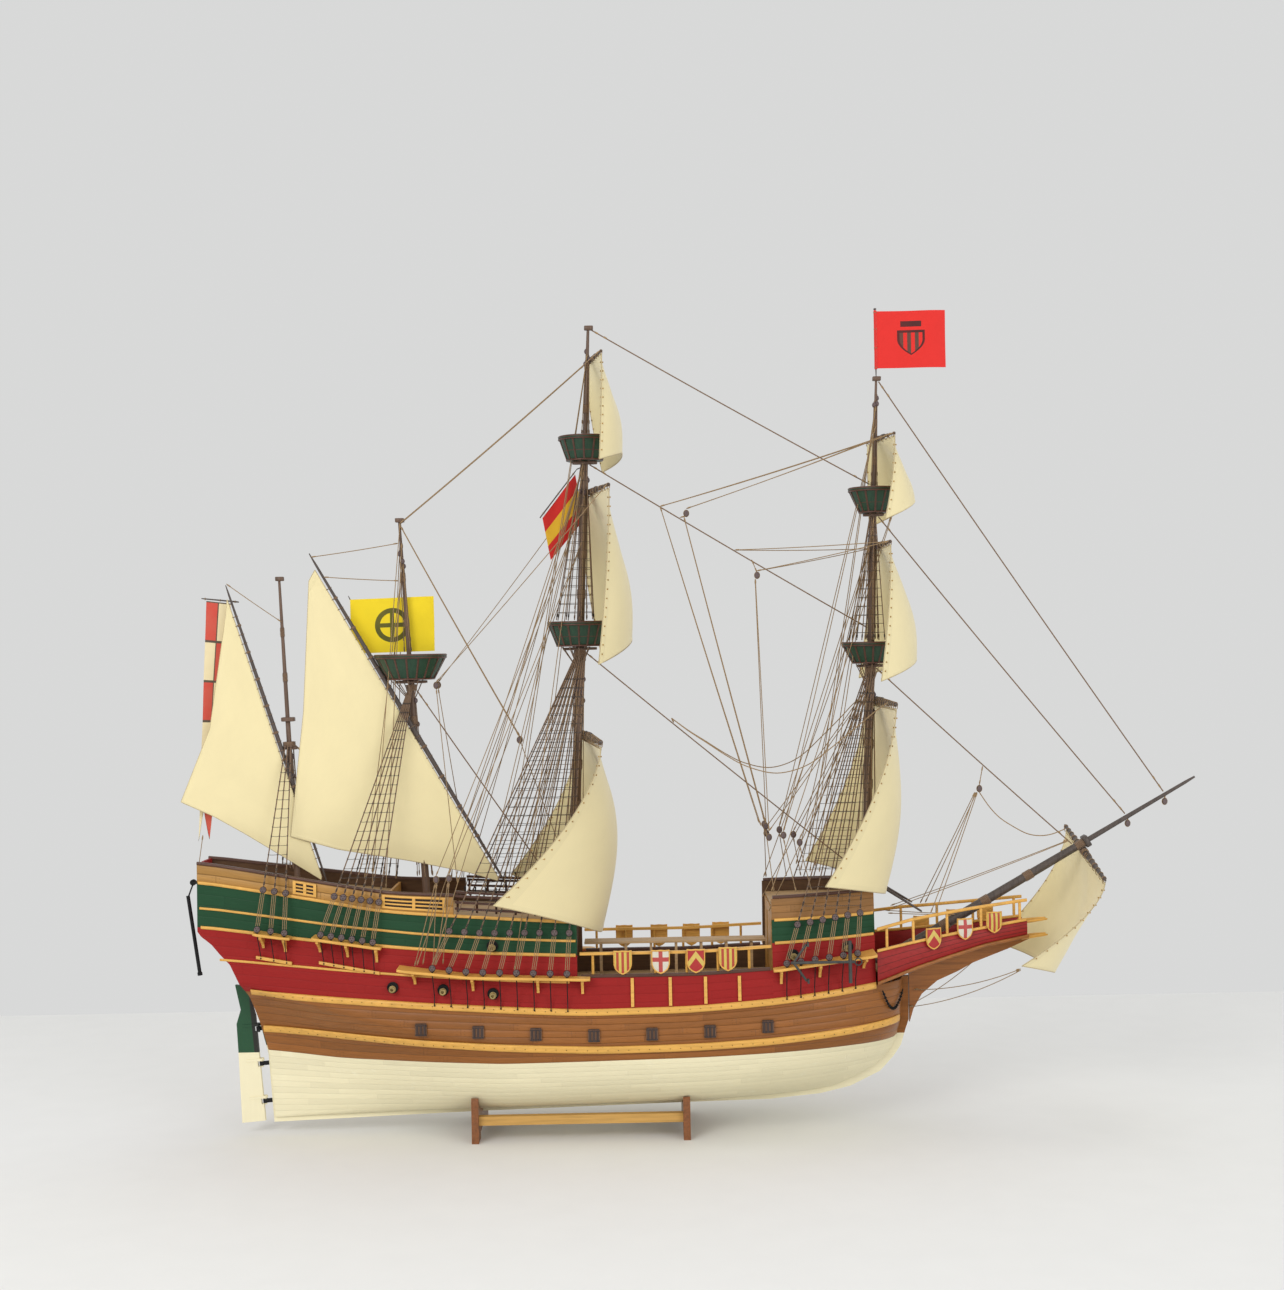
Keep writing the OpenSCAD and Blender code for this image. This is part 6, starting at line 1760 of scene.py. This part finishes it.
spine_mat = post_mat()
deck_wood = wood("plain_deck_wood", DECK, "X", 0.55, 0.0, 0.4)
oak_wood = wood("plain_oak_wood", OAK, "Y", 0.5, 0.05, 0.35)
anchor_mat = metal("grey_iron", (0.085, 0.085, 0.08), 0.55, 0.5)
KEPT = [("cradle_post_aft", cradle_mat, 0.8), ("cradle_post_fore", cradle_mat, 0.8),
        ("cradle_rails", rail_mat, 0.7), ("keel_spine", spine_mat, 0.5), ("half_frames", oak_wood, 0),
        ("transom", red_wood, 0), ("decks", deck_wood, 0.2), ("cabin_bulkheads", oak_wood, 0.3),
        ("waist_rails", ochre_mat, 0.3), ("quarter_rails", dark_mat, 0.3), ("gangway", deck_wood, 0.3),
        ("head_knee", knee_mat, 0.5), ("head_grating", deck_wood, 0.3), ("gudgeons", iron_mat, 0.15),
        ("anchors", anchor_mat, 0.15), ("rudder", rudder_mat(), 0.4), ("outligger", iron_mat, 0.15)]
for node, mat, bevel in KEPT:
    finish_node(node, mat, bevel)


# ---- floor, wall and light ----
def stage_mat(name, colour):
    n = Nodes(name, 0.75, specular=0.2)
    grain = n.noise(n.coords(), 30, 5, 0.5)
    return n.finish(n.ramp(grain, [(0.2, tone(colour, 0.985)), (0.8, tone(colour, 1.01))]), None, grain,
                    0.0002, 0.1)


def stage_piece(name, corners, mat):
    mesh = bpy.data.meshes.new(name)
    mesh.from_pydata(corners, [], [(0, 1, 2, 3)])
    mesh.materials.append(mat)
    obj = bpy.data.objects.new(name, mesh)
    bpy.context.scene.collection.objects.link(obj)


stage_piece("floor", [(-5, -5, 0), (5, -5, 0), (5, 0.507, 0), (-5, 0.507, 0)],
            stage_mat("table_white", (0.80, 0.80, 0.79)))


def lamp(name, place, target, size, power, colour=(1, 1, 1)):
    data = bpy.data.lights.new(name, "AREA")
    data.shape = "RECTANGLE"
    data.size, data.size_y = size
    data.energy = power
    data.color = colour
    obj = bpy.data.objects.new(name, data)
    obj.location = place
    obj.rotation_euler = (Vector(target) - Vector(place)).to_track_quat("-Z", "Y").to_euler()
    bpy.context.scene.collection.objects.link(obj)


lamp("key", (-1.2, -2.0, 1.35), (0, 0, 0.25), (1.1, 1.1), 23, (1, 0.985, 0.955))
lamp("fill", (1.5, -2.1, 0.75), (0, 0, 0.2), (1.6, 1.2), 17, (0.985, 0.99, 1))
lamp("top", (0.1, 0.3, 2.3), (0, 0, 0.2), (1.5, 1.5), 8)
world = bpy.data.worlds.new("studio")
bpy.context.scene.world = world
world.use_nodes = True
world.node_tree.nodes["Background"].inputs["Color"].default_value = (0.985, 0.99, 0.985, 1)
world.node_tree.nodes["Background"].inputs["Strength"].default_value = 0.7
bpy.context.scene.view_settings.view_transform = "Standard"

bpy.context.view_layer.update()
